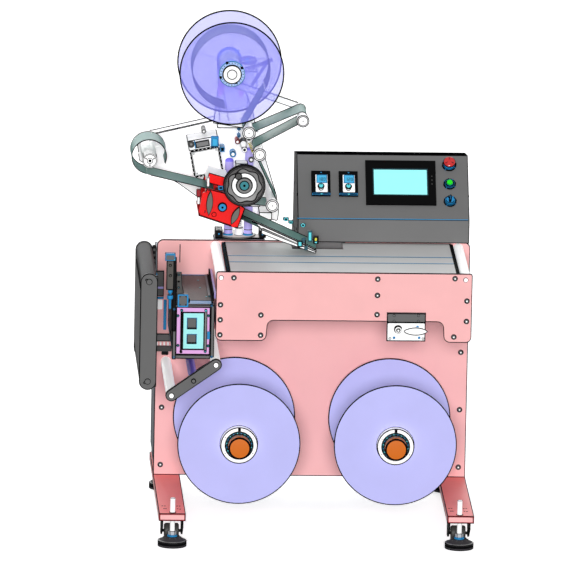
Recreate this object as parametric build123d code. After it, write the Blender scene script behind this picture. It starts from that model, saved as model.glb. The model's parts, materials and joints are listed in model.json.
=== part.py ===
from build123d import *
import os
import math

# Roll-to-roll labelling machine. Millimetres, +Z up, front of the machine faces -Y.
# The layout below is written from the main wall's left edge and front face, and every
# node is moved by SHIFT at the end, so the origin is under the middle of the whole
# machine, on the floor.

# ---------------------------------------------------------------- driving dimensions
SHIFT_X, SHIFT_Y = -465.0, 113.5

WALL_W, WALL_T = 1025.0, 8.0            # pink main wall
WALL_Z0, WALL_Z1 = 110.0, 900.0
CAB_D = 325.0                           # depth of the electrical cabinet behind the wall
CAB_T = 3.0

BEAM_W, BEAM_H = 87.0, 25.0             # foot beams
BEAM_Y0, BEAM_Y1 = -544.0, 325.0
BEAM_XS = (0.0, 938.0)
FOOT_XS = (45.0, 979.0)
FOOT_YS = (-527.0, 280.0)
PAD_R = 47.0

APRON_Y0, APRON_T = -470.0, 6.0         # pink front apron
TABLE_X0, TABLE_X1, TABLE_Z = 219.0, 962.0, 895.0
TABLE_ROLLER_R = 17.0

REEL_XS = (260.0, 769.5)                # unwind and rewind axes
REEL_Z = 319.0
REEL_R = 200.0
REEL_FRONT, REEL_REAR = -438.0, -49.0
CORE_R = 36.5                           # 3 inch core shaft
SHAFT_R, RUN = 12.5, 0.05               # running clearance of shafts, radial

HEAD_Y = 62.0                           # front face of the white head plate
HEAD_LIFT = 50.0
POST_XS, POST_Y, POST_R = (233.0, 298.0), 45.0, 14.0
SCREW_X, SCREW_R = 268.5, 8.0

WEB_Y0, WEB_Y1, WEB_T = -172.0, -46.0, 0.5
ROLL_Y0 = -240.0                        # front ends of the head's rollers
ROLL_R, COLLAR_R, AXLE_R = 15.5, 22.0, 6.0
SUPPLY = (224.0, 1503.0)
SUPPLY_FLANGE_R, SUPPLY_ROLL_R = 171.0, 127.5
RA, RB, RC, RT = (282.3, 1309.9), (318.6, 1238.1), (363.1, 1068.9), (457.3, 1351.7)
DANCER_PIVOT = (250.0, 1421.0)
REWINDER, REWINDER_R = (-38.0, 1214.0), 58.0
NIP_D, NIP_D_R = (245.1, 1049.0), 14.0
NIP_E, NIP_E_R = (200.0, 1065.0), 24.0
NIP_F, NIP_F_R = (162.0, 1092.5), 14.0
NIP_G, NIP_G_R = (173.6, 1038.6), 12.0
PEEL_TIP_X, PEEL_SLOPE = 511.0, 0.4515
PEEL_BAR, PEEL_BAR_R = (332.0, 984.5), 6.0

GUIDE_X, GUIDE_TOP_Z, GUIDE_BOT_Z, GUIDE_R = -43.0, 869.0, 538.0, 28.0
GUIDE_Y0, GUIDE_Y1 = -495.0, -6.0


# ---------------------------------------------------------------- helpers
def box(x0, x1, y0, y1, z0, z1):
    return Pos((x0 + x1) / 2, (y0 + y1) / 2, (z0 + z1) / 2) * Box(x1 - x0, y1 - y0, z1 - z0)


def cyl_y(x, z, r, y0, y1):
    return Pos(x, (y0 + y1) / 2, z) * Rot(90, 0, 0) * Cylinder(r, y1 - y0)


def cyl_z(x, y, r, z0, z1):
    return Pos(x, y, (z0 + z1) / 2) * Cylinder(r, z1 - z0)


def cyl_x(y, z, r, x0, x1):
    return Pos((x0 + x1) / 2, y, z) * Rot(0, 90, 0) * Cylinder(r, x1 - x0)


def tube_y(x, z, ro, ri, y0, y1):
    return cyl_y(x, z, ro, y0, y1) - cyl_y(x, z, ri, y0 - 1, y1 + 1)


def prism_xz(points, y0, y1):
    # closed outline in the XZ plane, from y0 to y1
    face = make_face(Polyline([(x, y0, z) for x, z in points], close=True))
    return extrude(face, amount=y1 - y0, dir=(0, 1, 0))


def prism_yz(points, x0, x1):
    face = make_face(Polyline([(x0, y, z) for y, z in points], close=True))
    return extrude(face, amount=x1 - x0, dir=(1, 0, 0))


def prism_xy(points, z0, z1):
    face = make_face(Polyline([(x, y, z0) for x, y in points], close=True))
    return extrude(face, amount=z1 - z0, dir=(0, 0, 1))


def rounded_outline(points, radii, n=6):
    # outline with each corner replaced by a few points of its arc
    out = []
    m = len(points)
    for i in range(m):
        p, a, b = points[i], points[i - 1], points[(i + 1) % m]
        r = radii[i]
        if r <= 0:
            out.append(p)
            continue
        va = (a[0] - p[0], a[1] - p[1])
        vb = (b[0] - p[0], b[1] - p[1])
        la, lb = math.hypot(*va), math.hypot(*vb)
        va, vb = (va[0] / la, va[1] / la), (vb[0] / lb, vb[1] / lb)
        ang = math.acos(max(-1, min(1, va[0] * vb[0] + va[1] * vb[1])))
        d = r / math.tan(ang / 2)
        h = r / math.sin(ang / 2)
        bx, by = va[0] + vb[0], va[1] + vb[1]
        lb2 = math.hypot(bx, by)
        c = (p[0] + bx / lb2 * h, p[1] + by / lb2 * h)
        t0 = (p[0] + va[0] * d, p[1] + va[1] * d)
        t1 = (p[0] + vb[0] * d, p[1] + vb[1] * d)
        a0 = math.atan2(t0[1] - c[1], t0[0] - c[0])
        a1 = math.atan2(t1[1] - c[1], t1[0] - c[0])
        da = (a1 - a0 + math.pi) % (2 * math.pi) - math.pi
        for k in range(n + 1):
            t = a0 + da * k / n
            out.append((c[0] + r * math.cos(t), c[1] + r * math.sin(t)))
    return out


def stadium(p, q, r, y0, y1, n=12):
    # bar with round ends from p to q in the XZ plane
    a = math.atan2(q[1] - p[1], q[0] - p[0])
    pts = []
    for k in range(n + 1):
        t = a + math.pi / 2 + math.pi * k / n
        pts.append((p[0] + r * math.cos(t), p[1] + r * math.sin(t)))
    for k in range(n + 1):
        t = a - math.pi / 2 + math.pi * k / n
        pts.append((q[0] + r * math.cos(t), q[1] + r * math.sin(t)))
    return prism_xz(pts, y0, y1)


def hex_z(x, y, af, z0, z1):
    return extrude(Pos(x, y, z0) * RegularPolygon(af / 2, 6, major_radius=False), amount=z1 - z0)


def tangent(c1, r1, s1, c2, r2, s2):
    # straight run between two circles; s is +1 where the web turns left (counterclockwise)
    dx, dz = c2[0] - c1[0], c2[1] - c1[1]
    d = math.hypot(dx, dz)
    base = math.atan2(dz, dx)
    # offsets to the right of travel of the contact points
    o1, o2 = s1 * r1, s2 * r2
    a = base + math.asin((o1 - o2) / d)
    n = (math.sin(a), -math.cos(a))
    p = (c1[0] + n[0] * o1, c1[1] + n[1] * o1)
    q = (c2[0] + n[0] * o2, c2[1] + n[1] * o2)
    return p, q


def strip(p, q, side, t=WEB_T, y0=WEB_Y0, y1=WEB_Y1):
    # thin straight web from p to q, thickness to the given side (+1 right of travel)
    dx, dz = q[0] - p[0], q[1] - p[1]
    d = math.hypot(dx, dz)
    n = (dz / d * side, -dx / d * side)
    return prism_xz([p, q, (q[0] + n[0] * t, q[1] + n[1] * t), (p[0] + n[0] * t, p[1] + n[1] * t)], y0, y1)


def wrap(c, r, p, q, sense, t=WEB_T, y0=WEB_Y0, y1=WEB_Y1, n=10):
    # thin web around a circle from contact point p to contact point q
    a0 = math.atan2(p[1] - c[1], p[0] - c[0])
    a1 = math.atan2(q[1] - c[1], q[0] - c[0])
    da = (a1 - a0) % (2 * math.pi)
    if sense < 0:
        da = da - 2 * math.pi
    outer = [(c[0] + (r + t) * math.cos(a0 + da * k / n), c[1] + (r + t) * math.sin(a0 + da * k / n)) for k in range(n + 1)]
    rin = r / math.cos(abs(da) / n / 2) * 1.0005
    inner = [(c[0] + rin * math.cos(a0 + da * k / n), c[1] + rin * math.sin(a0 + da * k / n)) for k in range(n + 1)]
    return prism_xz(outer + inner[::-1], y0, y1)


def roller_y(c, y0, y1, body_r, collar_r, bore_r, collars):
    # guide roller with edge collars; collars is a list of (y0, y1)
    s = cyl_y(c[0], c[1], body_r, y0, y1)
    for a, b in collars:
        s += cyl_y(c[0], c[1], collar_r, a, b)
    return s - cyl_y(c[0], c[1], bore_r, y0 - 1, y1 + 1)


NODES = {}


def node(name, *solids):
    NODES[name] = list(solids)


# ---------------------------------------------------------------- main wall and cabinet
wall_pts = rounded_outline(
    [(0, WALL_Z0), (WALL_W, WALL_Z0), (WALL_W, WALL_Z1), (614, WALL_Z1), (608, WALL_Z1 - 32),
     (437, WALL_Z1 - 32), (433, WALL_Z1), (0, WALL_Z1)],
    [0, 0, 20, 0, 8, 8, 0, 20])
wall = prism_xz(wall_pts, 0, WALL_T)
for x in REEL_XS:
    wall -= cyl_y(x, REEL_Z, 45, -5, WALL_T + 5)
wall -= box(89, 93, -5, 4, 822, 882)
node("main_wall", wall)

cab_x0, cab_x1 = 6.0, WALL_W - 6.0
# the cabinet is lower at the left, behind the head, and full height under the console
LOW_Z, STEP_X = 820.0, 458.0
left_side = box(cab_x0, cab_x0 + CAB_T, WALL_T, CAB_D - 4, WALL_Z0, LOW_Z)
for k in range(6):
    z = 210 + k * 42
    left_side -= box(cab_x0 - 5, cab_x0 + CAB_T + 5, 70, 250, z, z + 6)
right_side = box(cab_x1 - CAB_T, cab_x1, WALL_T, CAB_D - 4, WALL_Z0, WALL_Z1)
low_top = box(cab_x0 + CAB_T, STEP_X - CAB_T, WALL_T, CAB_D - 4, LOW_Z - CAB_T, LOW_Z)
skirt = box(412, cab_x1 - CAB_T, WALL_T, WALL_T + 3, 856, WALL_Z1)
step = box(STEP_X - CAB_T, STEP_X, WALL_T + 3, CAB_D - 4, LOW_Z - CAB_T, WALL_Z1)
high_top = box(STEP_X, cab_x1 - CAB_T, WALL_T + 3, CAB_D - 4, WALL_Z1 - CAB_T, WALL_Z1)
high_back = box(STEP_X, cab_x1 - CAB_T, CAB_D - 7, CAB_D - 4, LOW_Z, WALL_Z1 - CAB_T)
ledge = box(186, 352, WALL_T, 85, WALL_Z1 - 6, WALL_Z1) - cyl_z(SCREW_X, POST_Y, 12, WALL_Z1 - 20, WALL_Z1 + 20)
ledge_ribs = [prism_yz([(WALL_T, 894), (80, 894), (80, 884), (WALL_T + 12, 840), (WALL_T, 840)], x, x + 5) for x in (188, 345)]
cab_bottom = box(cab_x0 + CAB_T, cab_x1 - CAB_T, WALL_T, CAB_D - 4, WALL_Z0, WALL_Z0 + CAB_T)
hinge_pins = [cyl_z(cab_x1 - 4, CAB_D + 8, 4.0, z, z + 60) for z in (190, 730)]
hinge_leaves = [box(cab_x1 - 7, cab_x1 - 1, CAB_D - 4, CAB_D + 12, z - 6, z) for z in (190, 730)]
node("cabinet_panels", left_side, right_side, low_top, skirt, step, high_top, high_back, ledge, *ledge_ribs,
     cab_bottom, *hinge_leaves, *hinge_pins)

door = box(cab_x0 + 1, cab_x1 - 12, CAB_D - 3.5, CAB_D, WALL_Z0 + 4, LOW_Z - 4)
for k in range(5):
    door -= box(380, 640, CAB_D - 20, CAB_D + 20, 620 + k * 28, 627 + k * 28)
door_handle = box(60, 84, CAB_D, CAB_D + 6, 470, 560) + box(66, 78, CAB_D + 6, CAB_D + 22, 490, 540)
knuckles = []
for z in (190, 730):
    k = cyl_z(cab_x1 - 4, CAB_D + 8, 8.0, z + 0.5, z + 59) + box(cab_x1 - 40, cab_x1 - 4, CAB_D, CAB_D + 3.5, z + 0.5, z + 59)
    knuckles.append(k - cyl_z(cab_x1 - 4, CAB_D + 8, 4.0 + RUN, z - 1, z + 61))
node("rear_door", door, door_handle, *knuckles)

# ---------------------------------------------------------------- feet
beams = []
for x in BEAM_XS:
    b = box(x, x + BEAM_W, BEAM_Y0, BEAM_Y1, 110 - BEAM_H, 110)
    b -= box(x + 4, x + BEAM_W - 4, BEAM_Y0 + 4, BEAM_Y1 - 4, 80, 106)
    for y in FOOT_YS:
        b -= cyl_z(x + (FOOT_XS[0] if x < 100 else FOOT_XS[1] - BEAM_XS[1]), y, 8.5, 100, 120)
    beams.append(b)
node("foot_beams", *beams)

pads, studs, forks = [], [], []
for x in FOOT_XS:
    for y in FOOT_YS:
        p = cyl_z(x, y, PAD_R, 0, 9) + cyl_z(x, y, PAD_R - 3.5, 9, 12) + cyl_z(x, y, PAD_R, 12, 18)
        p += Pos(x, y, 24) * Cone(PAD_R - 4, 24, 12)
        p += cyl_z(x, y, 14, 30, 35)
        pads.append(p)
        studs.append(cyl_z(x, y, 8, 35, 158 if y < 0 else 107))
        studs.append(hex_z(x, y, 24, 36, 49) - cyl_z(x, y, 8, 30, 60))
        studs.append(hex_z(x, y, 24, 93, 106) - cyl_z(x, y, 8, 90, 110))
        s = 1 if y < 0 else -1
        for sx in (-1, 1):
            fx = x + sx * 33
            pts = [(y - s * 9, 106), (y + s * 98, 106), (y + s * 92, 22), (y + s * 62, 22), (y - s * 9, 62)]
            forks.append(prism_yz(pts, fx - 2.5, fx + 2.5))
        forks.append(cyl_x(y + s * 77, 31, 5.0, x - 34.5, x + 34.5))
node("foot_pads", *pads)
node("foot_studs", *studs)

WHEEL_R = 25.0
node("caster_forks", *forks)
for tag, x, y in (("front_left", FOOT_XS[0], FOOT_YS[0]), ("front_right", FOOT_XS[1], FOOT_YS[0]),
                  ("rear_left", FOOT_XS[0], FOOT_YS[1]), ("rear_right", FOOT_XS[1], FOOT_YS[1])):
    s = 1 if y < 0 else -1
    w = cyl_x(y + s * 77, 31, WHEEL_R, x - 24, x + 24)
    w = chamfer(w.edges().filter_by(GeomType.CIRCLE), 4)
    w -= cyl_x(y + s * 77, 31, 5.0 + RUN, x - 40, x + 40)
    node("caster_wheel_" + tag, w)

# ---------------------------------------------------------------- apron, ties and table
# two lobes hang below the middle, joined by rounded steps
apron_pts = rounded_outline(
    [(175, 900), (175, 671), (340, 671), (345, 739), (914, 739), (918, 671), (1007, 671), (1007, 900)],
    [8, 18, 20, 20, 20, 20, 18, 8])
node("front_apron", prism_xz(apron_pts, APRON_Y0, APRON_Y0 + APRON_T))

ties = []
for x, z in ((238, 871), (190, 690), (322, 757), (699, 762), (699, 871), (950, 871), (990, 742), (950, 690)):
    ties.append(cyl_y(x, z, 9, APRON_Y0 + APRON_T, 0))
bolts = []
for x, z in ((232, 880), (190, 790), (190, 740), (190, 690), (322, 757), (322, 690),
             (699, 880), (699, 826), (699, 762), (950, 884), (990, 810), (990, 742), (950, 690)):
    bolts.append(cyl_y(x, z, 6.5, APRON_Y0 - 4, APRON_Y0))
for x, z in ((24, 337), (23, 144), (1002, 531), (1002, 338), (1002, 144)):
    bolts.append(cyl_y(x, z, 6.5, -4, 0))
node("tie_bars", *ties, *bolts)

# three plates side by side; the middle one is shorter and leaves an open gap at the back of the
# table, under the label head's peel edge
table_plates = []
for tx0, tx1, ty1 in ((TABLE_X0, 437, -1), (437, 605, -93), (605, TABLE_X1, -1)):
    plate = box(tx0, tx1, APRON_Y0 + APRON_T + 1, ty1, TABLE_Z - 12, TABLE_Z)
    for y in (-233, -320):
        plate -= box(tx0 - 1, tx1 + 1, y - 2, y + 2, TABLE_Z - 3, TABLE_Z + 1)
    table_plates.append(plate)
strip_l = box(TABLE_X0 - 6, TABLE_X0, -462, -2, TABLE_Z - 10, TABLE_Z - 1)
strip_r = box(TABLE_X1, TABLE_X1 + 4, -462, -2, TABLE_Z - 10, TABLE_Z - 1)
node("table_plate", *table_plates, strip_l, strip_r)

for tag, x in (("left", 191.0), ("right", 985.0)):
    r = cyl_y(x, 880, TABLE_ROLLER_R, APRON_Y0 + APRON_T + 2, -2)
    r += cyl_y(x, 880, 6, APRON_Y0 - 6, 4)
    node("table_roller_" + tag, r)
    hole = cyl_y(x, 880, 6 + RUN, -600, 100)
    NODES["front_apron"] = [s - hole for s in NODES["front_apron"]]
    NODES["main_wall"] = [s - hole for s in NODES["main_wall"]]
# ---------------------------------------------------------------- lower reels
housings = []
for x in REEL_XS:
    h = cyl_y(x, REEL_Z, 44.9, -0.0, 60) + cyl_y(x, REEL_Z, 58, -10, 0)
    housings.append(h - cyl_y(x, REEL_Z, SHAFT_R + RUN, -20, 70))
bx, gx = REEL_XS
brk = cyl_y(bx, REEL_Z, 62, 72, 150) + cyl_y(bx, REEL_Z, 30, 64, 72) - cyl_y(bx, REEL_Z, SHAFT_R + RUN, 50, 160)
brk_bracket = box(bx - 60, bx + 60, 80, 140, 113, 250) - cyl_y(bx, REEL_Z, 62, 70, 150)
gear = box(gx - 55, gx + 55, 72, 150, REEL_Z - 55, REEL_Z + 55) - cyl_y(gx, REEL_Z, SHAFT_R + RUN, 50, 160)
motor = cyl_y(gx, REEL_Z, 42, 152, 290)
gear_bracket = box(gx - 60, gx + 60, 80, 140, 113, REEL_Z - 55)
node("reel_drives", *housings, brk, brk_bracket, gear, motor, gear_bracket)

for tag, x in (("unwind", REEL_XS[0]), ("rewind", REEL_XS[1])):
    # free end with a 3 mm lead-in, a narrow groove behind it, then the body and the journal
    shaft = cyl_y(x, REEL_Z, CORE_R, -500, -460) + cyl_y(x, REEL_Z, CORE_R - 1, -460, -459) + cyl_y(x, REEL_Z, CORE_R, -459, -12)
    shaft += Pos(x, -501.5, REEL_Z) * Rot(90, 0, 0) * Cone(CORE_R, CORE_R - 3, 3)
    shaft += cyl_y(x, REEL_Z, SHAFT_R, -12, 148)
    node(tag + "_shaft", shaft)
    rear = tube_y(x, REEL_Z, REEL_R, CORE_R, REEL_REAR, REEL_REAR + 4)
    front = tube_y(x, REEL_Z, REEL_R, CORE_R, REEL_FRONT, REEL_FRONT + 4)
    clamp = tube_y(x, REEL_Z, 60, 44, REEL_FRONT - 22, REEL_FRONT)
    clamp -= box(x - 2, x + 2, REEL_FRONT - 30, REEL_FRONT + 5, REEL_Z + 20, REEL_Z + 80)
    clamp_r = tube_y(x, REEL_Z, 60, CORE_R, REEL_REAR + 4, REEL_REAR + 24)
    bush = tube_y(x, REEL_Z, 44, CORE_R, REEL_FRONT - 16, REEL_FRONT)
    node(tag + "_flanges", rear, front, clamp, clamp_r, bush)

# ---------------------------------------------------------------- console
prof = [(-15, 900), (-15, 974), (166, 1155), (325, 1130), (325, 900)]
shell = prism_yz(prof, 458, 1020)
inner = prism_yz([(-12, 890), (-12, 972.8), (167, 1151.5), (322, 1127), (322, 890)], 461, 1017)
console = shell - inner
PN = (-math.sqrt(0.5), math.sqrt(0.5))          # outward normal of the sloped face, (y, z)


def panel(x, s):
    # point on the sloped face: x across, s up the slope
    return (x, 20 + s * math.sqrt(0.5), 1009 + s * math.sqrt(0.5))


def on_panel(x, s, shape, lift=0.0):
    p = panel(x, s)
    return Pos(p[0], p[1] + PN[0] * lift, p[2] + PN[1] * lift) * Rot(45, 0, 0) * shape




def bx_panel(x0, x1, s0, s1, h0, h1):
    # box lying on the sloped face, h measured along its outward normal
    return on_panel((x0 + x1) / 2, (s0 + s1) / 2, Pos(0, 0, (h0 + h1) / 2) * Box(x1 - x0, s1 - s0, h1 - h0))


def cyl_panel(x, s, r, h0, h1):
    return on_panel(x, s, Pos(0, 0, (h0 + h1) / 2) * Cylinder(r, h1 - h0))


EX = 958.0
E_S, G_S, S_S = 168.0, 94.0, 27.0
for s, r in ((E_S, 11), (G_S, 11), (S_S, 11)):
    console -= cyl_panel(EX, s, r, -8, 8)
console -= bx_panel(700, 894, 30, 160, -8, 8)
KNOB = ((535.5, 89.0), (625.5, 88.5))
for x, s in KNOB:
    console -= bx_panel(x - 24, x + 24, s - 40, s + 40, -8, 8)
node("console_housing", console)

hmi = bx_panel(682.5, 912.5, 10, 180, 0, 7) + bx_panel(700.5, 893.5, 30.5, 159.5, -40, 0)
hmi -= bx_panel(708, 885, 47, 146, 5, 9)
screen = bx_panel(708, 885, 47, 146, 5, 6)
cases, collars = [], []
for x, s in KNOB:
    c = bx_panel(x - 31, x + 31, s - 47, s + 47, 0, 8) + bx_panel(x - 23.5, x + 23.5, s - 39.5, s + 39.5, -50, 0)
    c -= cyl_panel(x, s - 14, 4 + RUN, -10, 20)
    cases.append(c)
for s, r, h in ((E_S, 17, 5), (G_S, 14, 6), (S_S, 14, 6)):
    c = cyl_panel(EX, s, r, 0, h) + cyl_panel(EX, s, 11, -30, 0) - cyl_panel(EX, s, 6 + RUN, -26, 20)
    collars.append(c)
node("hmi_panel", hmi, screen)
node("control_bezels", *cases, *collars)
estop = cyl_panel(EX, E_S, 6, -16, 14) + cyl_panel(EX, E_S, 20, 14, 26)
estop = fillet(estop.edges().filter_by(GeomType.CIRCLE).sort_by_distance(Vector(*on_panel(EX, E_S, Pos(0, 0, 400) * Vertex(0, 0, 0)).center()))[0], 5)
node("emergency_stop_button", estop)
start = cyl_panel(EX, G_S, 6, -16, 9) + cyl_panel(EX, G_S, 10, 9.0, 14)
node("start_button", start)
sel = cyl_panel(EX, S_S, 6, -16, 9) + cyl_panel(EX, S_S, 13, 9, 15) + bx_panel(EX - 4, EX + 4, S_S - 13, S_S + 13, 15, 26)
node("selector_knob", sel)
for tag, (x, s) in zip(("left", "right"), KNOB):
    k = cyl_panel(x, s - 14, 4, -6, 8.6) + cyl_panel(x, s - 14, 10, 8.6, 16)
    node("dial_knob_" + tag, k)

# ---------------------------------------------------------------- electrical rack
rack = [box(60, 960, 196, 200, 560, 806), box(90, 210, 200, 262, 680, 790), box(230, 330, 200, 270, 680, 790),
        box(350, 470, 200, 250, 690, 790), box(500, 640, 200, 275, 665, 796), box(90, 640, 200, 225, 600, 640),
        box(700, 860, 200, 280, 590, 796),
        box(60, 70, 8, 196, 600, 640), box(950, 960, 8, 196, 600, 640)]
node("control_rack", *rack)

# ---------------------------------------------------------------- web guide unit, left
gx0 = GUIDE_X
top, bot = (GUIDE_X, GUIDE_TOP_Z), (GUIDE_X, GUIDE_BOT_Z)
gparts = [stadium(bot, top, GUIDE_R, GUIDE_Y0, GUIDE_Y0 + 12) + box(GUIDE_X, GUIDE_X + GUIDE_R, GUIDE_Y0, GUIDE_Y0 + 12, 521, 889), stadium(bot, top, GUIDE_R, GUIDE_Y1 - 12, GUIDE_Y1)]
gparts.append(box(GUIDE_X - 28, GUIDE_X - 24, GUIDE_Y0 + 12, GUIDE_Y1 - 12, GUIDE_BOT_Z + 30, GUIDE_TOP_Z - 30))
for z in (610.0, 800.0):
    gparts.append(cyl_y(GUIDE_X + 8, z, 10, GUIDE_Y0 + 12, GUIDE_Y1 - 12))
gparts.append(box(GUIDE_X + 5, 24, GUIDE_Y1, 0, 712, 796))
gparts.append(box(GUIDE_X + 5, 55, GUIDE_Y1, 0, 560, 585))
for c in (top, bot):
    hole = cyl_y(c[0], c[1], 8 + RUN, -600, 50)
    gparts = [g - hole if i < 2 else g for i, g in enumerate(gparts)]
node("guide_frame", *gparts)
for tag, c in (("top", top), ("bottom", bot)):
    node("guide_roller_" + tag, cyl_y(c[0], c[1], 26.5, GUIDE_Y0 + 13, GUIDE_Y1 - 13) + cyl_y(c[0], c[1], 8, GUIDE_Y0 - 3, GUIDE_Y1 - 1))

# ---------------------------------------------------------------- link bar and its rollers
LA, LB, LC = (35.0, 493.0), (106.0, 543.0), (178.0, 596.0)
bar = stadium(LA, LC, 19, -500, -488)
for c, r in ((LA, 7 + RUN), (LC, 7 + RUN)):
    bar -= cyl_y(c[0], c[1], r, -520, -470)
tie = cyl_y(LB[0], LB[1], 14, -488, 0)
nuts = [cyl_y(LB[0], LB[1], 8, -506, -500)]
node("link_bar", bar, tie, *nuts)
for tag, c in (("left", LA), ("right", LC)):
    r = cyl_y(c[0], c[1], 16.5, -487, -6) + cyl_y(c[0], c[1], 7, -506, 4)
    node("link_roller_" + tag, r)
    NODES["main_wall"] = [s - cyl_y(c[0], c[1], 7 + RUN, -50, 50) for s in NODES["main_wall"]]

# ---------------------------------------------------------------- printing unit
PX0, PX1, PZ0, PZ1 = 40.0, 168.0, 612.0, 784.0
case = box(PX0, PX1, -440, -6, PZ0, PZ1)
back = box(PX0 + 20, PX1 - 20, -6, 0, 660, 740)
frame = box(36, 172, -452, -440, 605, 785) - box(48, 159, -460, -430, 618, 776) - box(160, 180, -460, -430, 600, 613)
plate = box(48.2, 158.8, -447, -440, 618.2, 775.8)
plate -= box(84, 115, -460, -444, 705, 740) + box(84, 115, -460, -444, 656, 686)
rail = box(34, 46, -462, -452, 700, 943)
posts = [box(36, 48, -462, -452, 605, 700), box(160, 172, -462, -452, 613, 785)]
node("printer_body", case, back, frame, plate, rail, *posts)
slide = box(13, 37, -480, -462.3, 840, 937)
cap_ = box(8, 41, -482, -462.3, 937, 960)
node("printer_slide", slide, cap_)

# ---------------------------------------------------------------- latch block and cam lever
latch = box(731, 857, -482, -470, 739, 770) + box(731, 857, -478, -470, 676, 739)
PIV = (768.0, 716.0)
latch_pin = cyl_y(PIV[0], PIV[1], 6, -500, -478)
node("latch_block", latch, latch_pin)
lever = stadium(PIV, (852, 712), 12, -494, -482.4)
lever -= cyl_y(PIV[0], PIV[1], 6 + RUN, -520, -470)
node("cam_lever", lever)

# ---------------------------------------------------------------- label head: base, posts, jack screw
base = [box(190, 348, 18, 80, 900, 905)]
base[0] -= cyl_z(SCREW_X, POST_Y, 12, 890, 910)
base.append(box(190, 214, 18, 80, 905, 928))
base.append(box(334, 356, 18, 80, 905, 928))
nut = cyl_z(SCREW_X, POST_Y, 13, 905, 935) - cyl_z(SCREW_X, POST_Y, SCREW_R + RUN, 890, 940)
base.append(nut)
lpost = cyl_z(POST_XS[0], POST_Y, POST_R, 905, 1165)
lpost = fillet(lpost.edges().filter_by(GeomType.CIRCLE).sort_by(Axis.Z)[-1], 10)
rpost = cyl_z(POST_XS[1], POST_Y, POST_R, 905, 1200)
rpost = fillet(rpost.edges().filter_by(GeomType.CIRCLE).sort_by(Axis.Z)[-1], 6)
base += [lpost, rpost]
node("head_base", *base)

screw = cyl_z(SCREW_X, POST_Y, SCREW_R, 872, 1117.4) + cyl_z(SCREW_X, POST_Y, 15, 1117.4, 1130.0)
screw = screw + Pos(SCREW_X, POST_Y, 1134.0) * Cone(14.6, 6.6, 8)
node("jack_screw", screw)

# ---------------------------------------------------------------- label head: plate and carriage
head_pts = rounded_outline(
    [(-72, 1226), (-62, 1150), (71, 1072), (127, 1032), (396, 951), (399, 985), (391, 1038), (357, 1145), (330, 1240), (282, 1311)],
    [14, 10, 6, 6, 6, 4, 6, 6, 10, 8])
hplate = prism_xz(head_pts, HEAD_Y, HEAD_Y + 12)
mandrel_hole = cyl_y(REWINDER[0], REWINDER[1], 10 + RUN, HEAD_Y - 5, HEAD_Y + 90)
hplate -= mandrel_hole
gearbox = box(60, 330, HEAD_Y + 12, HEAD_Y + 70, 1110, 1240)
carriage = box(196, 335, 14, HEAD_Y, 1010, 1104)
for x in POST_XS:
    carriage -= cyl_z(x, POST_Y, POST_R + RUN, 1000, 1120)
carriage -= cyl_z(SCREW_X, POST_Y, SCREW_R + RUN, 1000, 1120)
rew_motor = cyl_y(REWINDER[0], REWINDER[1], 28, HEAD_Y + 12, HEAD_Y + 90) - mandrel_hole
HWX, HWZ = SCREW_X, 1145.0
hw_block = box(250, 290, -30, 18, 1113.4, HWZ + 18) - cyl_y(HWX, HWZ, SCREW_R + RUN, -60, 50)
hw_arm = box(250, 290, 0, 14, 1060, 1113.4)
axles = [cyl_y(RA[0], RA[1], AXLE_R, -236, 2), cyl_y(RB[0], RB[1], AXLE_R, -236, HEAD_Y),
         cyl_y(RC[0], RC[1], AXLE_R, -236, HEAD_Y)]
node("head_plate", hplate, gearbox, carriage, rew_motor, hw_block, hw_arm, *axles)

# ---------------------------------------------------------------- handwheel
rim = tube_y(HWX, HWZ, 69, 48, -290, -268)
disc = tube_y(HWX, HWZ, 48, 26, -281, -275)
hub = cyl_y(HWX, HWZ, 26, -300, -262)
grip = cyl_y(HWX - 22, HWZ + 27, 8.5, -312, -281)
hw_shaft = cyl_y(HWX, HWZ, SCREW_R, -262, 22)
hw_gear = cyl_y(HWX, HWZ, 15, 22, 30) + Pos(HWX, 34, HWZ) * Rot(-90, 0, 0) * Cone(14.6, 6.6, 8)
node("handwheel", rim + disc + hub + grip, hw_shaft, hw_gear)

# ---------------------------------------------------------------- supply bracket, reel, dancer
bpts = [(224 + 40 * math.cos(math.radians(a)), 1503 + 40 * math.sin(math.radians(a))) for a in range(0, 181, 15)]
bpts += [(190, 1420), (176, 1290), (318, 1268), (306, 1330), (272, 1420)]
bracket = prism_xz(bpts, 2, 14)
bracket_spacer = box(190, 280, 14, HEAD_Y, 1272, 1292)
spindle = cyl_y(SUPPLY[0], SUPPLY[1], 15, -236, 2)
piv_boss = cyl_y(DANCER_PIVOT[0], DANCER_PIVOT[1], 8, -16, 2)
brake_block = box(268, 318, 14, 60, 1408, 1462) + box(256, 318, 14, 24, 1395, 1408)
node("supply_bracket", bracket, bracket_spacer, spindle, piv_boss, brake_block)

fl = []
for y in (-218, -26):
    fl.append(tube_y(SUPPLY[0], SUPPLY[1], SUPPLY_FLANGE_R, 29.5, y, y + 3))
reel_hub = tube_y(SUPPLY[0], SUPPLY[1], 29.5, 15 + RUN, -236, -22)
collar = tube_y(SUPPLY[0], SUPPLY[1], 42, 29.5, -228, -218)
node("supply_reel", *fl, reel_hub, collar)
node("label_roll", tube_y(SUPPLY[0], SUPPLY[1], SUPPLY_ROLL_R, 38, WEB_Y0, WEB_Y1), tube_y(SUPPLY[0], SUPPLY[1], 38, 29.5, -176, -42))

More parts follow.
